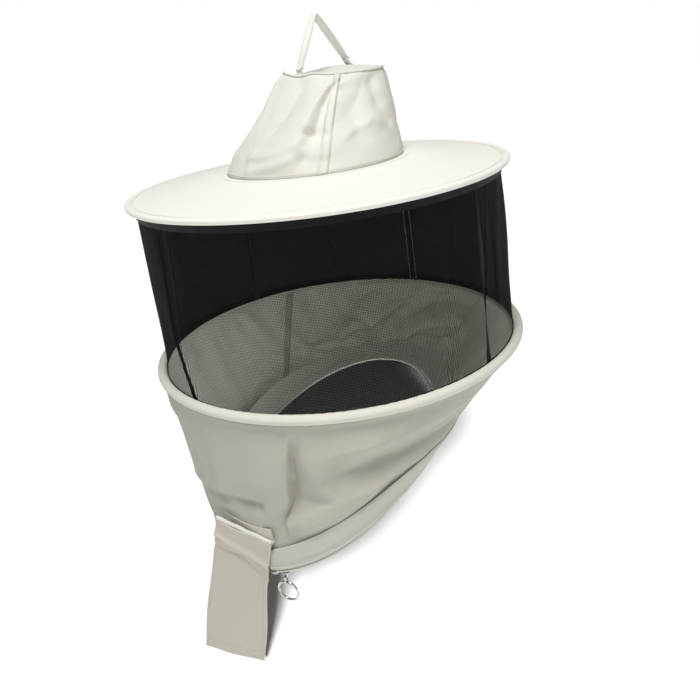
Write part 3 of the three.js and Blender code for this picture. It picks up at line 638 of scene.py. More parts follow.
def crown_tip_cloth():
    """The tip as rings of cloth that close on one point in the middle."""
    shares = (0.0, 0.03, 0.07, 0.12, 0.18, 0.26, 0.36, 0.48, 0.6, 0.72, 0.84, 0.93, 0.985)
    columns, rows = 120, len(shares)
    points = [crown_tip_surface(3.0 * i, share) for i in range(columns) for share in shares]
    points.append(Vector((0, CROWN_SET_BACK, tip_height(0, CROWN_SET_BACK))))
    faces = []
    for i in range(columns):
        n = (i + 1) % columns
        for j in range(rows - 1):
            faces.append((i * rows + j, n * rows + j, n * rows + j + 1, i * rows + j + 1))
    for i in range(columns):
        n = (i + 1) % columns
        faces.append((i * rows + rows - 1, n * rows + rows - 1, columns * rows))
    return sewn("crown_tip_cloth", points, faces, [(p.x, p.y) for p in points])


tip = crown_tip_cloth()
thicken(tip, 0.0011)
dress(tip, CROWN_DRILL, "hat_cotton", "hat", "crown_tip")

rim_path = [crown_side(3.0 * i, 1.0) + Vector((0, 0, 0.0004)) for i in range(120)]
rim_seam = bent_rod("crown_rim_seam", rim_path, 0.0013, sides=8, closed=True)
dress(rim_seam, CROWN_DRILL, "hat_cotton", "hat")


def crown_out(point):
    return Vector((point.x, point.y - 0.02, 0.05)).normalized()


def on_crown(angle, share, lift):
    """A place that stands this far off the crown's side."""
    place = crown_side(angle, share)
    return place + crown_out(place) * lift


for index, seam in enumerate(CROWN_SEAMS):
    node = ("crown_seam_right", "crown_seam_back", "crown_seam_left")[index]

    def felled(across, share, seam=seam):
        return on_crown(seam + across, share, 0.0009)

    name = f"crown_felled_seam_{index + 1}"
    band = woven(name, felled, [-3.4, -1.7, 0.0, 1.7, 3.4], crown_shares, 0.012, 0.1)
    thicken(band, 0.0009)
    dress(band, CROWN_DRILL, "hat_cotton", "hat", node)
    for side, letter in ((-2.0, "a"), (2.0, "b")):
        row_path = [on_crown(seam + side, share, 0.0011) for share in steps(0, 1, 60)]
        row = stitches(f"crown_seam_stitches_{index + 1}_{letter}", row_path, crown_out, HAT_THREAD)
        dress(row, HAT_THREAD, "hat_cotton", "hat")

# The crown's foot is turned in and sewn down to the brim with a row of stitches
foot_path = [on_crown(a, 0.03, 0.0002) for a in full_turn + [360.0]]
foot_row = stitches("crown_foot_stitches", foot_path, crown_out, HAT_THREAD)
dress(foot_row, HAT_THREAD, "hat_cotton", "hat")

# ---------------------------------------------------------------------------------------------
# Inside the hat: a cotton twill sweatband sewn round the head opening, the brim's stiff board and
# the sprung wire in its edge. These stay as the CAD pieces, with their own finishes.
# ---------------------------------------------------------------------------------------------
BAND_TWILL = cotton("sweatband twill", (0.72, 0.70, 0.62), (0.5, 0.48, 0.4), unevenness=0.3, on_cad=True)
BOARD_FIBRE = cotton("brim board fibre", (0.60, 0.56, 0.44), (0.40, 0.36, 0.26), threads=700.0, on_cad=True)
finish_cad("sweatband", BAND_TWILL)
finish_cad("brim_board", BOARD_FIBRE)


def worn_metal():
    """Plated or drawn wire: fine drawing lines, dull spots and darker rubbed patches."""
    tree, into, out = node_group(
        "worn metal",
        [
            ("Place", "NodeSocketVector", None),
            ("Bright", "NodeSocketColor", (0.7, 0.7, 0.7, 1)),
            ("Dull", "NodeSocketColor", (0.4, 0.4, 0.4, 1)),
            ("Polish", "NodeSocketFloat", 0.2),
        ],
        [("Color", "NodeSocketColor"), ("Roughness", "NodeSocketFloat"), ("Height", "NodeSocketFloat")],
    )
    place = into.outputs["Place"]
    mask = stretched(tree, cloud(tree, place, 160.0, 5.0), From_Min=0.42, From_Max=0.7)
    colour = mixed_colour(tree, mask, into.outputs["Bright"], into.outputs["Dull"])
    rough = maths(tree, "MULTIPLY_ADD", mask, 0.25, into.outputs["Polish"])
    tree.links.new(colour, out.inputs["Color"])
    tree.links.new(rough, out.inputs["Roughness"])
    tree.links.new(cloud(tree, place, 1400.0, 2.0), out.inputs["Height"])
    return tree


WORN_METAL = worn_metal()


def metal(name, bright, dull, polish):
    """A metal finish: its bright and dull colours, and how rough its bright places are."""
    finish, tree, shader, place = new_finish(name)
    worn = tree.nodes.new("ShaderNodeGroup")
    worn.node_tree = WORN_METAL
    tree.links.new(place["Object"], worn.inputs["Place"])
    worn.inputs["Bright"].default_value = (*bright, 1)
    worn.inputs["Dull"].default_value = (*dull, 1)
    worn.inputs["Polish"].default_value = polish
    raise_surface(tree, shader, worn.outputs["Height"], 0.08, 0.0002)
    tree.links.new(worn.outputs["Color"], shader.inputs["Base Color"])
    tree.links.new(worn.outputs["Roughness"], shader.inputs["Roughness"])
    shader.inputs["Metallic"].default_value = 1.0
    return finish


SPRING_STEEL = metal("spring steel", (0.55, 0.56, 0.58), (0.30, 0.30, 0.31), 0.22)
finish_cad("brim_edge_wire", SPRING_STEEL)

# ---------------------------------------------------------------------------------------------
# Hanging loop. A narrow folded cotton tape, sewn along both edges, whose ends lie on the crown's
# tip and are sewn down there. It stands up in a point, as it hangs from a hook.
# ---------------------------------------------------------------------------------------------
LOOP_FEET = ((-0.004, 0.10928), (0.064, 0.11371))
LOOP_APEX = (0.026, 0.161)
LOOP_WIDTH = 0.0082
LOOP_THICK = 0.0021

LOOP_TAPE = cotton("loop tape", (0.82, 0.81, 0.75), (0.58, 0.56, 0.48), threads=1500.0, unevenness=0.2)

front_foot, back_foot = (Vector((0, y, z)) for y, z in LOOP_FEET)
apex = Vector((0, LOOP_APEX[0], LOOP_APEX[1] - 0.0012))
LOOP_STEPS = 60


def loop_place(t):
    """A point of the loop, from its front foot (0) over the point to its back foot (1)."""
    if t < 0.46:
        s = t / 0.46
        bow = math.sin(math.pi * s)
        p = front_foot.lerp(apex + Vector((0, -0.0016, -0.0010)), s)
        return p + Vector((0.0012 * bow, -0.0016 * bow, 0))
    if t > 0.54:
        s = (t - 0.54) / 0.46
        bow = math.sin(math.pi * s)
        p = (apex + Vector((0, 0.0016, -0.0010))).lerp(back_foot, s)
        return p + Vector((-0.0010 * bow, 0.0014 * bow, 0))
    s = (t - 0.46) / 0.08
    return apex + Vector((0, 0.0032 * (s - 0.5), -0.0010 + 0.0014 * math.sin(math.pi * s)))


loop_line = [loop_place(i / LOOP_STEPS) for i in range(LOOP_STEPS + 1)]


def tape_frame(line, i, turn):
    """Across and square to the tape at a point of its line, turned about the line."""
    d = (line[min(i + 1, len(line) - 1)] - line[max(i - 1, 0)]).normalized()
    square = d.cross(Vector((1, 0, 0)))
    across = (Vector((math.cos(turn), 0, 0)) + square * math.sin(turn)).normalized()
    return across, across.cross(d).normalized()


def loop_turn(i):
    """The two legs are sewn down flat and turn opposite ways on their way up to the point."""
    t = i / LOOP_STEPS
    if t < 0.5:
        return 0.35 * math.sin(math.pi * t / 0.5)
    return -0.95 * math.sin(math.pi * (t - 0.5) / 0.5)


# Half of the tape's rounded section, as shares of its width and thickness
TAPE_SECTION = ((-0.5, 0.0), (-0.46, 0.42), (-0.3, 0.5), (0, 0.46), (0.3, 0.5), (0.46, 0.42))


def tape_along(name, line, width, thick, turning):
    """A flat tape with rounded edges, its flat lying across the line and square to +X."""
    points, flat = [], []
    section = [*TAPE_SECTION, *((-u, -v) for u, v in TAPE_SECTION)]
    run = 0.0
    for i, p in enumerate(line):
        across, face = tape_frame(line, i, turning(i))
        if i:
            run += (p - line[i - 1]).length
        for u, v in section:
            points.append(p + across * width * u + face * thick * v)
            flat.append((width * u, run))
    sides = len(section)
    faces = tube_faces(len(line), sides, False)
    faces.append(tuple(reversed(range(sides))))
    faces.append(tuple((len(line) - 1) * sides + j for j in range(sides)))
    return sewn(name, points, faces, flat)


loop = tape_along("hanging_loop_tape", loop_line, LOOP_WIDTH, LOOP_THICK, loop_turn)
dress(loop, LOOP_TAPE, "tape_cotton", "loop", "hanging_loop")
for leg, start, end, outer in (("front", 2, 28, 1), ("back", 33, 59, -1)):
    for side, letter in ((-1, "a"), (1, "b")):
        path, facing = [], Vector((0, 0, 0))
        for i in range(start, end):
            across, face = tape_frame(loop_line, i, loop_turn(i))
            facing += face * outer
            on_face = across * side * LOOP_WIDTH * 0.34 + face * LOOP_THICK * 0.48 * outer
            path.append(loop_line[i] + on_face)
        facing = facing.normalized()
        row = stitches(f"loop_stitches_{leg}_{letter}", path, lambda p, f=facing: f, HAT_THREAD)
        dress(row, HAT_THREAD, "tape_cotton", "loop")
for place_name, foot in (("front", front_foot), ("back", back_foot)):
    fold = [foot + Vector((LOOP_WIDTH * share, 0, 0)) for share in steps(-0.5, 0.5, 8)]
    knuckle = bent_rod(f"loop_{place_name}_knuckle", fold, 0.0020, sides=16)
    dress(knuckle, LOOP_TAPE, "tape_cotton", "loop")

# Each end of the tape lies on the tip, sewn down, and turns up into its leg
for place_name, foot, reach in (("front", front_foot, -0.0060), ("back", back_foot, 0.0120)):
    tab_line = []
    for t in steps(0, 1, 24):
        y = foot.y + reach * (1 - t) ** 2
        low = tip_height(0, y) - 0.0012 * (1 - t)
        tab_line.append(Vector((0, y, low + (foot.z - low) * t**1.8)))
    tab = tape_along(f"loop_{place_name}_tab", tab_line, LOOP_WIDTH, LOOP_THICK, lambda i: 0.0)
    dress(tab, LOOP_TAPE, "tape_cotton", "hat", f"loop_anchor_{place_name}")

# ---------------------------------------------------------------------------------------------
# Veil. One width of black knitted net round the face, sewn under the brim and into the hoop's
# cover. It hangs nearly straight, with a few pleats where the spare width was eased in.
# ---------------------------------------------------------------------------------------------
VEIL_TOP_RADIUS = 0.2002
VEIL_FOOT_RADIUS = 0.2078
VEIL_TOP = -0.0040
VEIL_FOOT = -0.1915
VEIL_DROP = VEIL_TOP - VEIL_FOOT
NET_PITCH = 0.0016
NET_YARN = 0.125  # share of the pitch that each yarn takes
NET_INSIDE_PAINTED_DARK = 0.99  # how opaque the camera alone sees the net's inner side: painted shade, as light still passes through its gaps
NET_BLACK = (0.003, 0.003, 0.003, 1)
NET_RUBBED = (0.009, 0.009, 0.009, 1)

VEIL_PLEAT_SPAN = 5.0  # degrees
# Pleats: the angle at the top and at the foot, how far the net doubles back in degrees, its depth
VEIL_PLEATS = (
    (-4.0, 1.5, 1.0, 0.0016),
    (87.0, 79.5, 0.9, 0.0018),
    (103.0, 96.0, 0.8, 0.0014),
    (146.0, 150.0, 0.9, 0.0016),
    (232.0, 226.0, 0.9, 0.0016),
    (300.0, 305.0, 0.8, 0.0015),
)


def veil_surface(angle, share):
    """The hanging net, from the brim (0) to the hoop (1)."""
    radius = VEIL_TOP_RADIUS + (VEIL_FOOT_RADIUS - VEIL_TOP_RADIUS) * share
    height = VEIL_TOP - VEIL_DROP * share
    free = math.sin(math.pi * min(1.0, max(0.0, share))) ** 0.7
    place = angle
    for top, foot, fold, depth in VEIL_PLEATS:
        line = top + (foot - top) * share + 0.7 * math.sin(3.0 * share + top)
        d = signed_turn(angle - line) / VEIL_PLEAT_SPAN
        if abs(d) < 0.5:
            swing = math.sin(2 * math.pi * d)
            place -= fold * 1.6 * swing * (0.55 + 0.45 * share)
            radius += depth * swing * (0.4 + 0.6 * share)
            radius += 0.3 * depth * math.cos(math.pi * d) ** 2
    a = math.radians(angle)
    sway = 0.0022 * math.sin(5 * a + 1.3) + 0.0016 * math.sin(11 * a + 0.4 + 2.0 * share)
    sway += 0.0010 * math.sin(23 * a + 3.0 * share)
    ripple = 0.0016 * noise.noise(around(angle, 0.2, height * 0.45) * 26)
    return around(place, radius - 0.0012 + (sway + ripple) * free, height)


def knitted_net():
    """Black polyester net. Its inner side is painted shade: the camera alone sees it nearly opaque, so the
    far side of the veil reads black, while light passes it as through the yarns alone.
    """
    finish, tree, shader, place = new_finish("veil net")
    split = wire_up(tree, "ShaderNodeSeparateXYZ", [(0, place["UV"])])
    wobble = cloud(tree, place["UV"], 90.0, 1.0)
    strands = []
    for axis in (0, 1):
        cell = maths(tree, "DIVIDE", split.outputs[axis], NET_PITCH)
        part = maths(tree, "FRACT", maths(tree, "MULTIPLY_ADD", wobble, 0.35, cell))
        far = maths(tree, "ABSOLUTE", maths(tree, "SUBTRACT", part, 0.5))
        strands.append(maths(tree, "GREATER_THAN", far, 0.5 - NET_YARN * 0.9))
    yarn = maths(tree, "MAXIMUM", strands[0], strands[1])
    side = tree.nodes.new("ShaderNodeNewGeometry")
    sight = tree.nodes.new("ShaderNodeLightPath")
    # Painted shade: to camera rays the net's inner side is made nearly opaque black, whatever lies behind
    # it.
    inner = maths(tree, "MULTIPLY", side.outputs["Backfacing"], sight.outputs["Is Camera Ray"])
    alpha = maths(tree, "MAXIMUM", yarn, maths(tree, "MULTIPLY", inner, NET_INSIDE_PAINTED_DARK))
    shade = cloud(tree, place["UV"], 18.0, 3.0)
    tree.links.new(mixed_colour(tree, shade, NET_BLACK, NET_RUBBED), shader.inputs["Base Color"])
    tree.links.new(alpha, shader.inputs["Alpha"])
    raise_surface(tree, shader, yarn, 0.4, 0.0003)
    shader.inputs["Roughness"].default_value = 0.7
    shader.inputs["Specular IOR Level"].default_value = 0.06
    return finish


NET = knitted_net()
NET_TAPE = cotton(
    "veil tape", (0.007, 0.007, 0.007), (0.003, 0.003, 0.003), threads=1300.0, unevenness=0.3
)
VEIL_THREAD = cotton("veil thread", (0.62, 0.61, 0.56), (0.40, 0.39, 0.35), threads=2600.0)

veil_shares = steps(0, 1, 26)
fine_turn = [0.75 * i for i in range(480)]
veil = woven("veil_net", veil_surface, fine_turn, veil_shares, 1.36, 0.192, joined=True, turned=True)
dress(veil, NET, "net", "hat", "veil_front_panel", "veil_right_panel", "veil_left_panel")
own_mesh(veil)

for name, seam, node in (
    ("veil_seam_tape_right", 97.5, "veil_seam_right"),
    ("veil_seam_tape_back", 195.0, "veil_seam_back"),
    ("veil_seam_tape_left", 262.5, "veil_seam_left"),
):
    def inside_net(across, share, seam=seam):
        p = veil_surface(seam + across, share)
        return p - straight_out(p) * 0.0012

    half_width = 1.6 if node == "veil_seam_back" else 0.9
    across_tape = steps(-half_width, half_width, 4)
    tape = woven(name, inside_net, across_tape, veil_shares, 0.011, 0.19, turned=True)
    thicken(tape, 0.0005)
    dress(tape, NET_TAPE, "net", "hat", node)
    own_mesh(tape)
    if node == "veil_seam_back":
        for side, letter in ((-1.3, "a"), (1.3, "b")):
            inwards = around(seam, -0.0008, 0)
            path = [inside_net(side, share) + inwards for share in steps(0, 1, 80)]
            row = stitches(f"veil_back_stitches_{letter}", path, lambda p: -straight_out(p), VEIL_THREAD)
            dress(row, VEIL_THREAD, "net", "hat")
            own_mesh(row)

TOP_TAPE = cotton(
    "veil top tape",
    (0.006, 0.006, 0.006),
    (0.003, 0.003, 0.003),
    threads=1300.0,
    unevenness=0.3,
    on_cad=True,
)
finish_cad("veil_top_hem", TOP_TAPE)

selvedge = woven(
    "veil_foot_selvedge",
    lambda angle, share: around(angle, 0.2074, -0.1888 - 0.0040 * share),
    full_turn,
    [0, 0.5, 1],
    1.34,
    0.004,
    joined=True,
    turned=True,
)
thicken(selvedge, 0.0006)
dress(selvedge, NET_TAPE, "net", "collar", "veil_bottom_hem")

# ---------------------------------------------------------------------------------------------
# Hoop. A spring-steel ring, its ends joined in a short ferrule, inside a piped cotton sleeve. The
# veil's foot and the collar's top edge are sewn into the sleeve's turned seam.
# ---------------------------------------------------------------------------------------------
HOOP_RADIUS = 0.213
HOOP_HEIGHT = -0.192
SLEEVE_RADIUS = 0.0053

HOOP_DRILL = cotton("hoop sleeve drill", (0.76, 0.745, 0.665), (0.54, 0.52, 0.44))


def hoop_sleeve(angle, turn):
    """The sleeve's surface, gathered a little on its rod."""
    a, t = math.radians(angle), 2 * math.pi * turn
    gather = 0.00022 * noise.noise(Vector((angle * 0.9, 3 * math.cos(t), 3 * math.sin(t))))
    r = SLEEVE_RADIUS + gather + 0.00012 * math.sin(angle * 2.3)
    lift = 0.0005 * math.sin(3 * a + 0.8)
    return around(angle, HOOP_RADIUS + r * math.cos(t), HOOP_HEIGHT + lift + r * math.sin(t))


SLEEVE_SIDES = 18
sleeve_points, sleeve_flat = [], []
for i, angle in enumerate(fine_turn):
    for j in range(SLEEVE_SIDES):
        sleeve_points.append(hoop_sleeve(angle, j / SLEEVE_SIDES))
        sleeve_flat.append((1.34 * i / len(fine_turn), 0.034 * j / SLEEVE_SIDES))
sleeve_faces = [
    (first, fourth, third, second)
    for first, second, third, fourth in tube_faces(len(fine_turn), SLEEVE_SIDES, True)
]
sleeve = sewn("hoop_sleeve", sleeve_points, sleeve_faces, sleeve_flat)
dress(sleeve, HOOP_DRILL, "collar_cotton", "collar", "hoop_cover")
finish_cad("hoop_core", SPRING_STEEL)
finish_cad("hoop_ferrule", SPRING_STEEL)

welt_path = [around(a, HOOP_RADIUS - 0.0012, HOOP_HEIGHT - 0.0056) for a in full_turn]
welt = bent_rod("hoop_welt", welt_path, 0.0016, sides=8, closed=True, squeeze=0.8)
dress(welt, HOOP_DRILL, "collar_cotton", "collar")

# ---------------------------------------------------------------------------------------------
# Collar. Unbleached cotton drill from the hoop down to the neck, cut wide and eased in, so that it
# falls in flat facets and soft folds. It is simulated as cloth, held along both sewn edges.
# ---------------------------------------------------------------------------------------------
NECK_RADIUS = 0.156
NECK_CENTRE = Vector((0.017, -0.065, -0.3255))
NECK_TURN = Matrix.Rotation(math.radians(-12), 3, "Y") @ Matrix.Rotation(math.radians(27.5), 3, "X")
COLLAR_FOOT = 0.014  # the cloth ends this far above the zip's chain

COLLAR_DRILL = cotton(
    "collar drill", (0.54, 0.53, 0.455), (0.38, 0.365, 0.30), unevenness=0.3, creasing=0.8
)
# The inside is the same drill as the outside, painted lighter: painted light, so the inner face seen
# through the net reads brighter.
COLLAR_INSIDE_PAINTED_LIGHT = cotton(
    "collar drill inside painted light", (0.84, 0.83, 0.76), (0.62, 0.60, 0.52), unevenness=0.25, creasing=0.6
)
COLLAR_THREAD = cotton("collar thread", (0.70, 0.69, 0.60), (0.5, 0.48, 0.4), threads=2600.0)


def neck_point(angle):
    return NECK_CENTRE + NECK_TURN @ around(angle, NECK_RADIUS, 0)


def hoop_foot(angle):
    return around(angle, HOOP_RADIUS - 0.001, HOOP_HEIGHT - 0.0058)


def collar_rise(angle):
    """How far the hoop's foot stands from the neck's chain, square to the chain."""
    edge = (neck_point(angle + 0.5) - neck_point(angle - 0.5)).normalized()
    whole = hoop_foot(angle) - neck_point(angle)
    return (whole - edge * whole.dot(edge)).length


def collar_at(angle, up):
    """The straight-ruled collar, this far up from the neck's chain."""
    return neck_point(angle).lerp(hoop_foot(angle), up / collar_rise(angle))


def collar_out(angle, up):
    along = collar_at(angle + 0.5, up) - collar_at(angle - 0.5, up)
    rise = collar_at(angle, up + 0.002) - collar_at(angle, up - 0.002)
    return along.cross(rise).normalized()


# Rows of the folded front from the hoop down: (angle, share of the rise, mm out), left to right.
# Between the third and fourth points the cloth is tucked under along a pressed pleat.
FRONT_FOLDS = (
    (
        (-8, 0.97, 0), (16, 0.96, 0), (32.8, 0.93, 1), (33.6, 0.93, 0), (36, 0.94, 0),
        (48, 0.96, 0), (58, 0.97, 0), (70, 0.97, 0), (94, 0.97, 0),
    ),
    (
        (-8, 0.78, 1), (16, 0.78, 2), (31.8, 0.77, 4), (32.6, 0.77, -6), (36.5, 0.76, 3),
        (46, 0.79, 5), (56, 0.79, 6), (67, 0.79, 3), (94, 0.78, 0),
    ),
    (
        (-8, 0.60, 1), (16, 0.60, 3), (30.8, 0.60, 4), (31.6, 0.60, -11), (40, 0.59, 4),
        (48, 0.61, -5), (59, 0.61, -9), (68, 0.60, -8), (94, 0.58, -3),
    ),
    (
        (-8, 0.46, 0), (14, 0.48, -3), (29.8, 0.48, 1), (30.6, 0.48, -13), (46, 0.43, 5),
        (51, 0.42, 5), (61, 0.43, 6), (69, 0.47, 4), (94, 0.52, 0),
    ),
    (
        (-8, 0.30, 0), (16, 0.33, 2), (26, 0.34, -4), (28, 0.34, 4), (38, 0.31, 6),
        (48, 0.28, 5), (58, 0.34, 3), (68, 0.43, 1), (94, 0.47, 0),
    ),
    (
        (-8, 0.16, 0), (16, 0.18, 0), (28, 0.18, 0), (30, 0.17, 0), (38, 0.16, 0),
        (46, 0.16, 0), (57, 0.28, 0), (68, 0.39, 0), (94, 0.43, 0),
    ),
)

COLLAR_CREASES = (
    (((-24, 0.44), (-8, 0.47), (4, 0.50), (12, 0.47), (18, 0.45)), -5.0, 4.5),
    (((-26, 0.50), (-8, 0.53), (4, 0.56)), 3.0, 6.0),
    (((-12, 0.38), (1, 0.42), (16, 0.41)), 3.0, 5.0),
    (((-50, 0.93), (-42, 0.86), (-30, 0.84)), 6.0, 14.0),
    (((-60, 0.78), (-46, 0.70), (-34, 0.72)), -5.0, 10.0),
    (((-66, 0.95), (-72, 0.60), (-64, 0.25)), 6.0, 14.0),
    (((-92, 0.92), (-98, 0.55), (-90, 0.2)), -7.0, 13.0),
    (((-120, 0.95), (-126, 0.6), (-118, 0.2)), 7.0, 14.0),
    (((-150, 0.9), (-146, 0.5), (-152, 0.15)), -8.0, 14.0),
    (((-176, 0.95), (-170, 0.6), (-180, 0.2)), 6.0, 13.0),
    (((160, 0.9), (154, 0.55), (160, 0.15)), -7.0, 12.0),
    (((136, 0.95), (130, 0.6), (136, 0.2)), 6.0, 13.0),
    (((112, 0.9), (108, 0.55), (114, 0.2)), -5.0, 12.0),
    (((-140, 0.35), (-155, 0.5), (-165, 0.75)), 4.0, 7.0),
    (((-105, 0.3), (-112, 0.55), (-104, 0.8)), 3.5, 7.0),
    # The eased-in fullness behind the neck gathers towards one point
    (((194, 0.24), (178, 0.45), (160, 0.62)), 5.0, 5.5),
    (((198, 0.24), (206, 0.50), (222, 0.70)), 5.0, 5.5),
    (((196, 0.24), (196, 0.60), (192, 0.90)), -5.0, 6.0),
    (((190, 0.24), (172, 0.34), (150, 0.42)), -4.0, 5.5),
    (((202, 0.24), (218, 0.36), (242, 0.46)), -4.5, 6.0),
)


COLLAR_FACETS = facets_of(FRONT_FOLDS)


def collar_fall(angle, share):
    """How far the eased-in cloth stands off the straight line, in metres."""
    turn = signed_turn(angle)
    push = 1.2 * facet_push(turn, share, COLLAR_FACETS)
    push += fold_height(angle, share, COLLAR_CREASES, 3.1, 160)
    back = 0.5 - 0.5 * math.cos(math.radians(turn))
    belly = math.sin(math.pi * min(1.0, max(0.0, share)))
    push -= 0.006 * belly * back**2
    push += 0.006 * belly * math.exp(-(((turn + 60) / 45) ** 2))
    return push


def collar_surface(angle, share):
    """The collar as it is sewn, from the neck band (0) to the hoop (1)."""
    rise = collar_rise(angle)
    up = COLLAR_FOOT + (rise - COLLAR_FOOT) * share
    real_share = up / rise
    loose = eased((share - 0.11) / 0.13) * min(1.0, (1 - share) / 0.06)
    point = collar_at(angle, up)
    soft = 0.0015 * noise.noise(point * 22)
    stand = (collar_fall(angle, real_share) + soft) * loose + 0.0012
    return point + collar_out(angle, up) * stand


# The cloth is divided finely where the pleat is pressed
pleat_angles = (28.1, 29.3, 29.9, 30.3, 30.6, 31.0, 31.4, 31.9, 32.2, 32.6, 33.1, 33.4)
collar_angles = sorted({*(1.25 * i for i in range(288)), *pleat_angles})
collar_shares = steps(0, 1, 56)
collar = woven("collar_cloth", collar_surface, collar_angles, collar_shares, 1.16, 0.165, joined=True)


SETTLE_FRAMES = 18
SETTLE_LIMIT = 0.010  # no place of the cloth falls further than this


def settle_collar(piece):
    """Lets the cloth fall for a moment, a little larger than its space, with both edges held."""
    rows = len(collar_shares)
    held = piece.vertex_groups.new(name="sewn edges")
    for index in range(len(piece.data.vertices)):
        j = index % rows
        if j <= 3 or j >= rows - 3:
            hold = 1.0
        else:
            hold = max(0.0, 0.35 - 0.05 * min(j, rows - 1 - j))
        held.add([index], hold, "REPLACE")
    start = np.array([v.co for v in piece.data.vertices])
    cloth = piece.modifiers.new("settle", "CLOTH")
    cloth.settings.quality = 6
    cloth.settings.mass = 0.25
    cloth.settings.tension_stiffness = 25
    cloth.settings.compression_stiffness = 25
    cloth.settings.shear_stiffness = 12
    cloth.settings.bending_stiffness = 4.0
    cloth.settings.shrink_min = -0.018
    cloth.settings.vertex_group_mass = "sewn edges"
    cloth.collision_settings.use_collision = False
    cloth.point_cache.frame_start = 1
    cloth.point_cache.frame_end = SETTLE_FRAMES
    scene = bpy.context.scene
    for frame_number in range(1, SETTLE_FRAMES + 1):
        scene.frame_set(frame_number)
    fallen = piece.evaluated_get(bpy.context.evaluated_depsgraph_get()).to_mesh()
    end = np.array([v.co for v in fallen.vertices])
    piece.to_mesh_clear()
    piece.modifiers.remove(cloth)
    moved = end - start
    far = np.linalg.norm(moved, axis=1)
    moved *= np.minimum(1.0, SETTLE_LIMIT / np.maximum(far, 1e-9))[:, None]
    # The pressed folds at the front keep their shape, and the rest falls freely
    turns = np.degrees(np.arctan2(start[:, 0], -start[:, 1]))
    pressed = np.clip(1.2 - np.abs(turns - 42) / 62, 0.0, 1.0)
    moved *= (1 - 0.92 * pressed)[:, None]
    piece.data.vertices.foreach_set("co", (start + moved).astype(np.float32).ravel())
    piece.data.update()
    scene.frame_set(1)


settle_collar(collar)
thicken(collar, 0.0012)
# The inner face takes the lighter copy of the drill: painted light.
collar.modifiers["cloth thickness"].material_offset = 1
collar.data.materials.append(COLLAR_DRILL)
collar.data.materials.append(COLLAR_INSIDE_PAINTED_LIGHT)
COLLAR_PANELS = ("collar_front_panel", "collar_right_panel", "back_yoke", "collar_left_panel")
dress(collar, COLLAR_DRILL, "collar_cotton", "collar", *COLLAR_PANELS)


def collar_skin(angle, share):
    """A point on the settled collar."""
    rows = len(collar_shares)
    place = angle % 360
    upper = next((i for i, a in enumerate(collar_angles) if a > place), 0)
    lower = upper - 1
    low_angle = collar_angles[lower]
    high_angle = collar_angles[upper] if upper else 360.0
    turned = (place - low_angle) / (high_angle - low_angle)
    j = min(rows - 2, int(share * (rows - 1)))
    risen = share * (rows - 1) - j
    cloth = collar.data.vertices

    def on_column(column):
        base = column * rows + j
        return cloth[base].co.lerp(cloth[base + 1].co, risen)

    return on_column(lower % len(collar_angles)).lerp(on_column(upper), turned)


# Four felled seams join the collar's panels, each with its strip inside. The front right seam lies
# in the pressed pleat, which hides its stitches, and the others show two rows.
for name, seam, node in (
    ("collar_felled_seam_1", 37.5, "collar_seam_front_right"),
    ("collar_felled_seam_2", 112.5, "collar_seam_back_right"),
    ("collar_felled_seam_3", 247.5, "collar_seam_back_left"),
    ("collar_felled_seam_4", 322.5, "collar_seam_front_left"),
):
    def inner_strip(across, share, seam=seam):
        p = collar_skin(seam + across, 0.10 + 0.88 * share)
        return p - collar_out(seam + across, 0.08) * 0.0019

    strip = woven(name, inner_strip, [-1.5, -0.75, 0, 0.75, 1.5], steps(0, 1, 30), 0.012, 0.14)
    thicken(strip, 0.0009)
    dress(strip, COLLAR_DRILL, "collar_cotton", "collar", node)
    if node == "collar_seam_front_right":
        continue
    seam_out = collar_out(seam, 0.08)
    for side, letter in ((-0.9, "a"), (0.9, "b")):
        lift = collar_out(seam + side, 0.08) * 0.0003
        path = [collar_skin(seam + side, share) + lift for share in steps(0.14, 0.98, 90)]
        row = stitches(f"{name}_stitches_{letter}", path, lambda p, out=seam_out: out, COLLAR_THREAD)
        dress(row, COLLAR_THREAD, "collar_cotton", "collar")

# ---------------------------------------------------------------------------------------------
# Neck zip. A woven tape carries a nylon coil right round the neck edge, between a cotton placket
# outside and a facing inside. It starts in a metal box and ends at a metal stop near the front.
# ---------------------------------------------------------------------------------------------
ZIP_START = 15.0
ZIP_END = 360.0
BAND_FOOT = 0.0070
BAND_TOP = 0.0306
COIL_PITCH = 0.0016

BAND_DRILL = cotton(
    "neck band drill", (0.61, 0.60, 0.53), (0.52, 0.50, 0.42), unevenness=0.22, creasing=0.4
)
ZIP_TAPE = cotton(
    "zip tape", (0.74, 0.735, 0.68), (0.5, 0.49, 0.44), threads=1700.0, unevenness=0.15, on_cad=True
)
finish_cad("zip_tape", ZIP_TAPE)
finish_cad("zip_facing", ZIP_TAPE)

band_angles = degrees_between(ZIP_START, ZIP_END, 1.25)


def band_surface(angle, share):
    up = BAND_FOOT + (BAND_TOP - BAND_FOOT) * share
    pucker = 0.00035 * math.sin(angle * 1.7 + 5 * share) * math.sin(math.pi * share)
    return collar_at(angle, up) + collar_out(angle, up) * (0.0040 + pucker)


def out_of_neck(point):
    """The direction square to the neck's chain, in the plane of the neck."""
    upright = NECK_TURN @ Vector((0, 0, 1))
    arm = point - NECK_CENTRE
    return (arm - upright * arm.dot(upright)).normalized()


band = woven("neck_band", band_surface, band_angles, steps(0, 1, 8), 0.94, 0.026)
thicken(band, 0.0011)
dress(band, BAND_DRILL, "collar_cotton", "collar", "zip_placket")
for index, up in enumerate((0.0095, 0.0125, 0.0275)):
    row_angles = degrees_between(ZIP_START + 0.6, ZIP_END - 0.6, 0.9)
    path = [collar_at(a, up) + collar_out(a, up) * 0.0044 for a in row_angles]
    row = stitches(f"neck_band_stitches_{index + 1}", path, out_of_neck, COLLAR_THREAD)
    dress(row, COLLAR_THREAD, "collar_cotton", "collar")


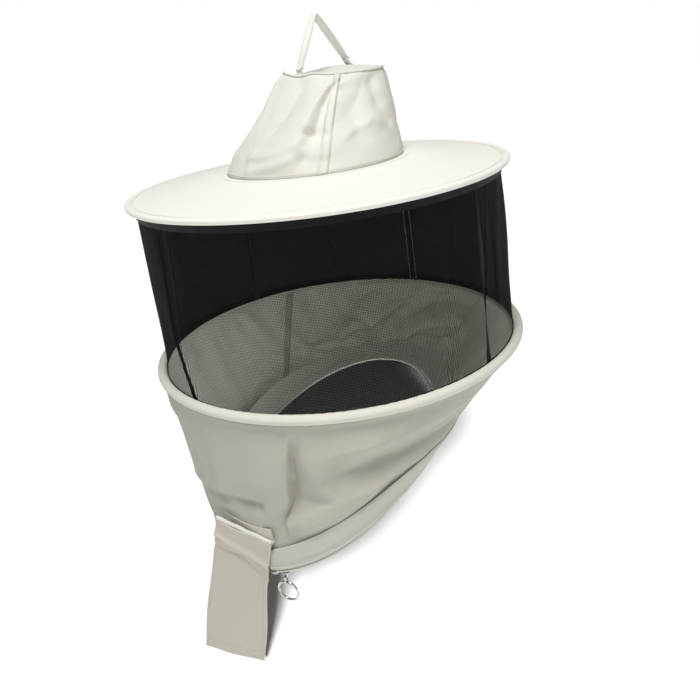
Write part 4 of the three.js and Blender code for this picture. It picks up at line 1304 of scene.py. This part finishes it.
def moulded_nylon():
    finish, tree, shader, place = new_finish("zip nylon")
    haze = cloud(tree, place["Object"], 220.0, 3.0)
    colour = mixed_colour(tree, haze, (0.80, 0.79, 0.73, 1), (0.62, 0.60, 0.52, 1))
    tree.links.new(colour, shader.inputs["Base Color"])
    tree.links.new(stretched(tree, haze, To_Min=0.28, To_Max=0.5), shader.inputs["Roughness"])
    return finish


NYLON = moulded_nylon()
COIL_HALF_TALL = 0.0017
COIL_HALF_THICK = 0.0013
COIL_HALF_WIDE = 0.00062
# One turn of the coil: share of its half height, and of its thickness there
COIL_SHAPE = ((-1.0, 0.25), (-0.85, 0.8), (-0.3, 1.0), (0.3, 1.0), (0.85, 0.8), (1.0, 0.25))
coil_points, coil_faces, coil_flat = [], [], []
chain_from = math.radians(ZIP_START + 2.4)
chain_to = math.radians(ZIP_END - 1.3)
chain_up = NECK_TURN @ Vector((0, 0, 1))
teeth = int((chain_to - chain_from) * NECK_RADIUS / COIL_PITCH)
for i in range(teeth):
    angle = math.degrees(chain_from + (chain_to - chain_from) * (i + 0.5) / teeth)
    stagger = 0.00003 if i % 2 else -0.00003
    centre = neck_point(angle)
    out = NECK_TURN @ around(angle, 1, 0)
    along = chain_up.cross(out).normalized()
    base = len(coil_points)
    for t, r in COIL_SHAPE:
        for j in range(6):
            a = math.pi * j / 3
            coil_points.append(
                centre
                + chain_up * (COIL_HALF_TALL * t + stagger)
                + along * COIL_HALF_WIDE * r * math.cos(a)
                + out * (COIL_HALF_THICK * r * math.sin(a))
            )
            coil_flat.append((0.001 * t, 0.0003 * a))
    for face in tube_faces(len(COIL_SHAPE), 6, False):
        coil_faces.append(tuple(base + corner for corner in face))
    coil_faces.append(tuple(base + j for j in reversed(range(6))))
    coil_faces.append(tuple(base + 30 + j for j in range(6)))
coil = sewn("zip_coil", coil_points, coil_faces, coil_flat)
dress(coil, NYLON, "zip_nylon", "collar", "zip_chain")
ZIP_METAL = metal("zip metal", (0.66, 0.66, 0.65), (0.42, 0.42, 0.41), 0.26)
finish_cad("zip_box", ZIP_METAL)
finish_cad("zip_top_stop", ZIP_METAL)

# ---------------------------------------------------------------------------------------------
# Slider and pull. A cast slider runs on the coil. A bent wire link hangs in its lug, and a round
# nickel-plated steel ring hangs in the link.
# ---------------------------------------------------------------------------------------------
SLIDER_REST = 21.5
RING_RADIUS = 0.012
RING_WIRE = 0.00125

NICKEL = metal("nickel plate", (0.62, 0.62, 0.61), (0.34, 0.33, 0.32), 0.12)
finish_cad("zip_slider", NICKEL)
finish_cad("pull_link", NICKEL)
cast_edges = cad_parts["zip_slider"].modifiers.new("cast edges", "BEVEL")
cast_edges.width = 0.0002
cast_edges.segments = 2

face_out = around(SLIDER_REST, 1, 0)
ring_across = Vector((face_out.y, -face_out.x, 0))
ring_box_low, ring_box_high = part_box("pull_ring")
ring_middle = (ring_box_low + ring_box_high) / 2
RING_STEPS = 90
RING_SIDES = 14
ring_points, ring_flat = [], []
for i in range(RING_STEPS):
    turn = 2 * math.pi * i / RING_STEPS
    spoke = ring_across * math.sin(turn) + Vector((0, 0, math.cos(turn)))
    for j in range(RING_SIDES):
        a = 2 * math.pi * j / RING_SIDES
        wire = spoke * RING_WIRE * math.cos(a) + face_out * RING_WIRE * math.sin(a)
        ring_points.append(ring_middle + spoke * RING_RADIUS + wire)
        ring_flat.append((0.00084 * i, 0.0012 * a))
ring_faces = tube_faces(RING_STEPS, RING_SIDES, True)
ring = sewn("pull_ring_wire", ring_points, ring_faces, ring_flat)
dress(ring, NICKEL, "zip_metal", "ring", "pull_ring")

# ---------------------------------------------------------------------------------------------
# Throat flap. A double tongue of the collar's cotton, piped along the top where it is sewn to a
# strip on the collar, stitched round its other edges, with a hook patch behind its foot.
# ---------------------------------------------------------------------------------------------
FLAP_WIDTH = 0.073
FLAP_LENGTH = 0.208
FLAP_ANGLE = 9.0
FLAP_STAND = 0.00815

FLAP_DRILL = cotton("flap drill", (0.61, 0.59, 0.50), (0.50, 0.48, 0.39), unevenness=0.22, creasing=0.7)

flap_place = (
    Matrix.Translation(collar_at(FLAP_ANGLE, 0.056) + around(FLAP_ANGLE, FLAP_STAND, 0))
    @ Matrix.Rotation(math.radians(17), 4, "Z")
    @ Matrix.Rotation(math.radians(16), 4, "Y")
)


def flap_surface(depth):
    """The flap's cloth, this far behind its middle: it turns and widens towards its foot."""
    def surface(across, down):
        turn = math.radians(20) * down**1.2
        widening = 1 - 0.03 * math.sin(math.pi * down) - 0.01 * math.sin(7 * down) + 0.05 * down
        half = across * FLAP_WIDTH / 2
        x = half * widening * math.cos(turn) - 0.0012 * math.sin(2.2 * down)
        z = -0.002 - down * (FLAP_LENGTH - 0.004) + 0.0030 * (1 + across) * (1 - down)
        wave = 0.0014 * math.sin(9 * down + 1.5 * across) * min(1, 3 * down)
        wave += 0.0010 * math.sin(4 * across + 5 * down)
        hollow = (down - 0.13 - 0.035 * across) / 0.014
        ridge = (down - 0.18 - 0.10 * max(across, 0)) / 0.018
        crease = 0.0022 * math.exp(-(ridge**2)) - 0.0028 * math.exp(-(hollow**2))
        curl = 0.0010 * across * across
        y = -0.0010 + wave * 0.8 + crease + curl + depth + half * math.sin(turn)
        return flap_place @ Vector((x, y, z))

    return surface


flap_middle = flap_surface(-0.0006)
flap = woven("flap_cloth", flap_middle, steps(-1, 1, 28), steps(0, 1, 80), FLAP_WIDTH, FLAP_LENGTH)
thicken(flap, 0.0019, inwards=0.0)
turned_edges = flap.modifiers.new("turned edges", "BEVEL")
turned_edges.width = 0.0007
turned_edges.segments = 3
turned_edges.limit_method = "ANGLE"
dress(flap, FLAP_DRILL, "collar_cotton", "flap", "flap_panel", "flap_foot_hem")

piping_path = []
for share in steps(0, 1, 40):
    rise = -0.0006 + 0.006 * share + 0.0004 * math.sin(20 * share)
    piping_path.append(flap_place @ Vector((FLAP_WIDTH * (share - 0.5), 0.0006, rise)))
piping = bent_rod("flap_piping", piping_path, 0.0022, sides=12)
PIPING_DRILL = cotton("piping drill", (0.80, 0.79, 0.71), (0.56, 0.54, 0.46), unevenness=0.15)
dress(piping, PIPING_DRILL, "collar_cotton", "flap", "flap_top_hem")
flap_front = flap_place.to_3x3() @ Vector((0, -1, 0))
face = flap_surface(-0.0017)
stitch_runs = {
    "left": [face(-0.90, i / 90) for i in range(3, 88)],
    "right": [face(0.90, i / 90) for i in range(3, 88)],
    "foot": [face(across, 0.972) for across in steps(-0.90, 0.90, 40)],
    "foot_fold": [face(across, 0.925) for across in steps(-0.90, 0.90, 40)],
    "top": [face(across, 0.022) for across in steps(-0.94, 0.94, 40)],
}
for place_name, path in stitch_runs.items():
    row = stitches(f"flap_stitches_{place_name}", path, lambda p: flap_front, COLLAR_THREAD)
    dress(row, COLLAR_THREAD, "collar_cotton", "flap")

HOOK_FELT = cotton(
    "hook patch", (0.62, 0.60, 0.52), (0.34, 0.32, 0.27), threads=620.0, unevenness=0.5, creasing=1.0
)
FLAP_STRIP = cotton(
    "flap strip", (0.66, 0.645, 0.555), (0.46, 0.44, 0.36), unevenness=0.3, on_cad=True
)
hook_across = steps(-0.66, 0.66, 12)
hook_down = steps(0.67, 0.95, 20)
hook = woven("flap_hook_felt", flap_surface(0.0016), hook_across, hook_down, 0.050, 0.060, turned=True)
thicken(hook, 0.0016)
dress(hook, HOOK_FELT, "hook_tape", "flap", "flap_hook_patch")
finish_cad("flap_anchor_strip", FLAP_STRIP)

# ---------------------------------------------------------------------------------------------
# The room: a pale studio floor, a high soft key over the wearer's left front, a weak fill low on
# the same side, and a light for the floor alone. The sky shows white and lights the hood faintly.
# ---------------------------------------------------------------------------------------------
FLOOR = -0.558
FLOOR_HALF = 9
floor_corners = [(x * FLOOR_HALF, y * FLOOR_HALF, FLOOR) for x, y in ((-1, -1), (1, -1), (1, 1), (-1, 1))]
floor_mesh = bpy.data.meshes.new("studio_floor")
floor_mesh.from_pydata(floor_corners, [], [(0, 1, 2, 3)])
studio_floor = bpy.data.objects.new("studio_floor", floor_mesh)
bpy.context.scene.collection.objects.link(studio_floor)
floor_paint, paint, paint_shader, ground = new_finish("studio floor paint")
mottle = cloud(paint, ground["Object"], 3.0, 4.0)
pale = mixed_colour(paint, mottle, (0.90, 0.90, 0.90, 1), (0.87, 0.87, 0.87, 1))
paint.links.new(pale, paint_shader.inputs["Base Color"])
paint_shader.inputs["Roughness"].default_value = 0.9
floor_mesh.materials.append(floor_paint)
studio_floor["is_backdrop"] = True

hood_lit = bpy.data.collections.new("lit by the key")
floor_lit = bpy.data.collections.new("lit by the floor light")
floor_lit.objects.link(studio_floor)
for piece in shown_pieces():
    hood_lit.objects.link(piece)


def lamp(name, kind, power, place, target, size, lights):
    """A disc of this size in metres, or a sun of this size in degrees, that lights one collection."""
    data = bpy.data.lights.new(name, kind)
    data.energy = power
    if kind == "AREA":
        data.shape = "DISK"
        data.size = size
    else:
        data.angle = math.radians(size)
    light = bpy.data.objects.new(name, data)
    bpy.context.scene.collection.objects.link(light)
    light.location = place
    light.rotation_euler = (Vector(target) - Vector(place)).to_track_quat("-Z", "Y").to_euler()
    light.light_linking.receiver_collection = lights


def towards(azimuth, elevation, distance):
    """A place seen from the hood at an azimuth from the front towards +X."""
    e = math.radians(elevation)
    return around(azimuth, distance * math.cos(e), distance * math.sin(e))


lamp("key", "AREA", 56.0, towards(46, 72, 2.2), (0, 0, -0.1), 1.1, hood_lit)
lamp("fill", "AREA", 13.0, towards(52, 14, 2.4), (0, 0, -0.25), 1.6, hood_lit)
lamp("floor light", "SUN", 6.3, towards(50, 37, 3.0), (0, 0, -0.1), 9.0, floor_lit)

air = bpy.data.worlds.new("studio air")
bpy.context.scene.world = air
air.use_nodes = True
sky = air.node_tree
background = sky.nodes["Background"]
background.inputs["Color"].default_value = (1, 1, 1, 1)
seen = sky.nodes.new("ShaderNodeLightPath").outputs["Is Camera Ray"]
sky.links.new(stretched(sky, seen, To_Min=0.024, To_Max=1.0), background.inputs["Strength"])
bpy.context.scene.view_settings.view_transform = "Standard"

camera_data = bpy.data.cameras.new("camera")
camera_data.lens = 36.0
camera_data.sensor_width = 36.0
camera_data.clip_end = 60.0
camera = bpy.data.objects.new("camera", camera_data)
bpy.context.scene.collection.objects.link(camera)
# The camera stands before the wearer's left shoulder, looks down a little and leans to one side
CAMERA_AZIMUTH = 50.0
CAMERA_DISTANCE = 0.793984
CAMERA_HEIGHT = 0.12341
CAMERA_DIP = 23.1496
CAMERA_TURN = 0.7713
CAMERA_LEAN = -7.5834
camera.matrix_world = (
    Matrix.Rotation(math.radians(CAMERA_AZIMUTH), 4, "Z")
    @ Matrix.Translation((0, -CAMERA_DISTANCE, CAMERA_HEIGHT))
    @ Matrix.Rotation(math.radians(-CAMERA_TURN), 4, "Z")
    @ Matrix.Rotation(math.radians(90 - CAMERA_DIP), 4, "X")
    @ Matrix.Rotation(math.radians(CAMERA_LEAN), 4, "Z")
)
bpy.context.scene.camera = camera

low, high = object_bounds()
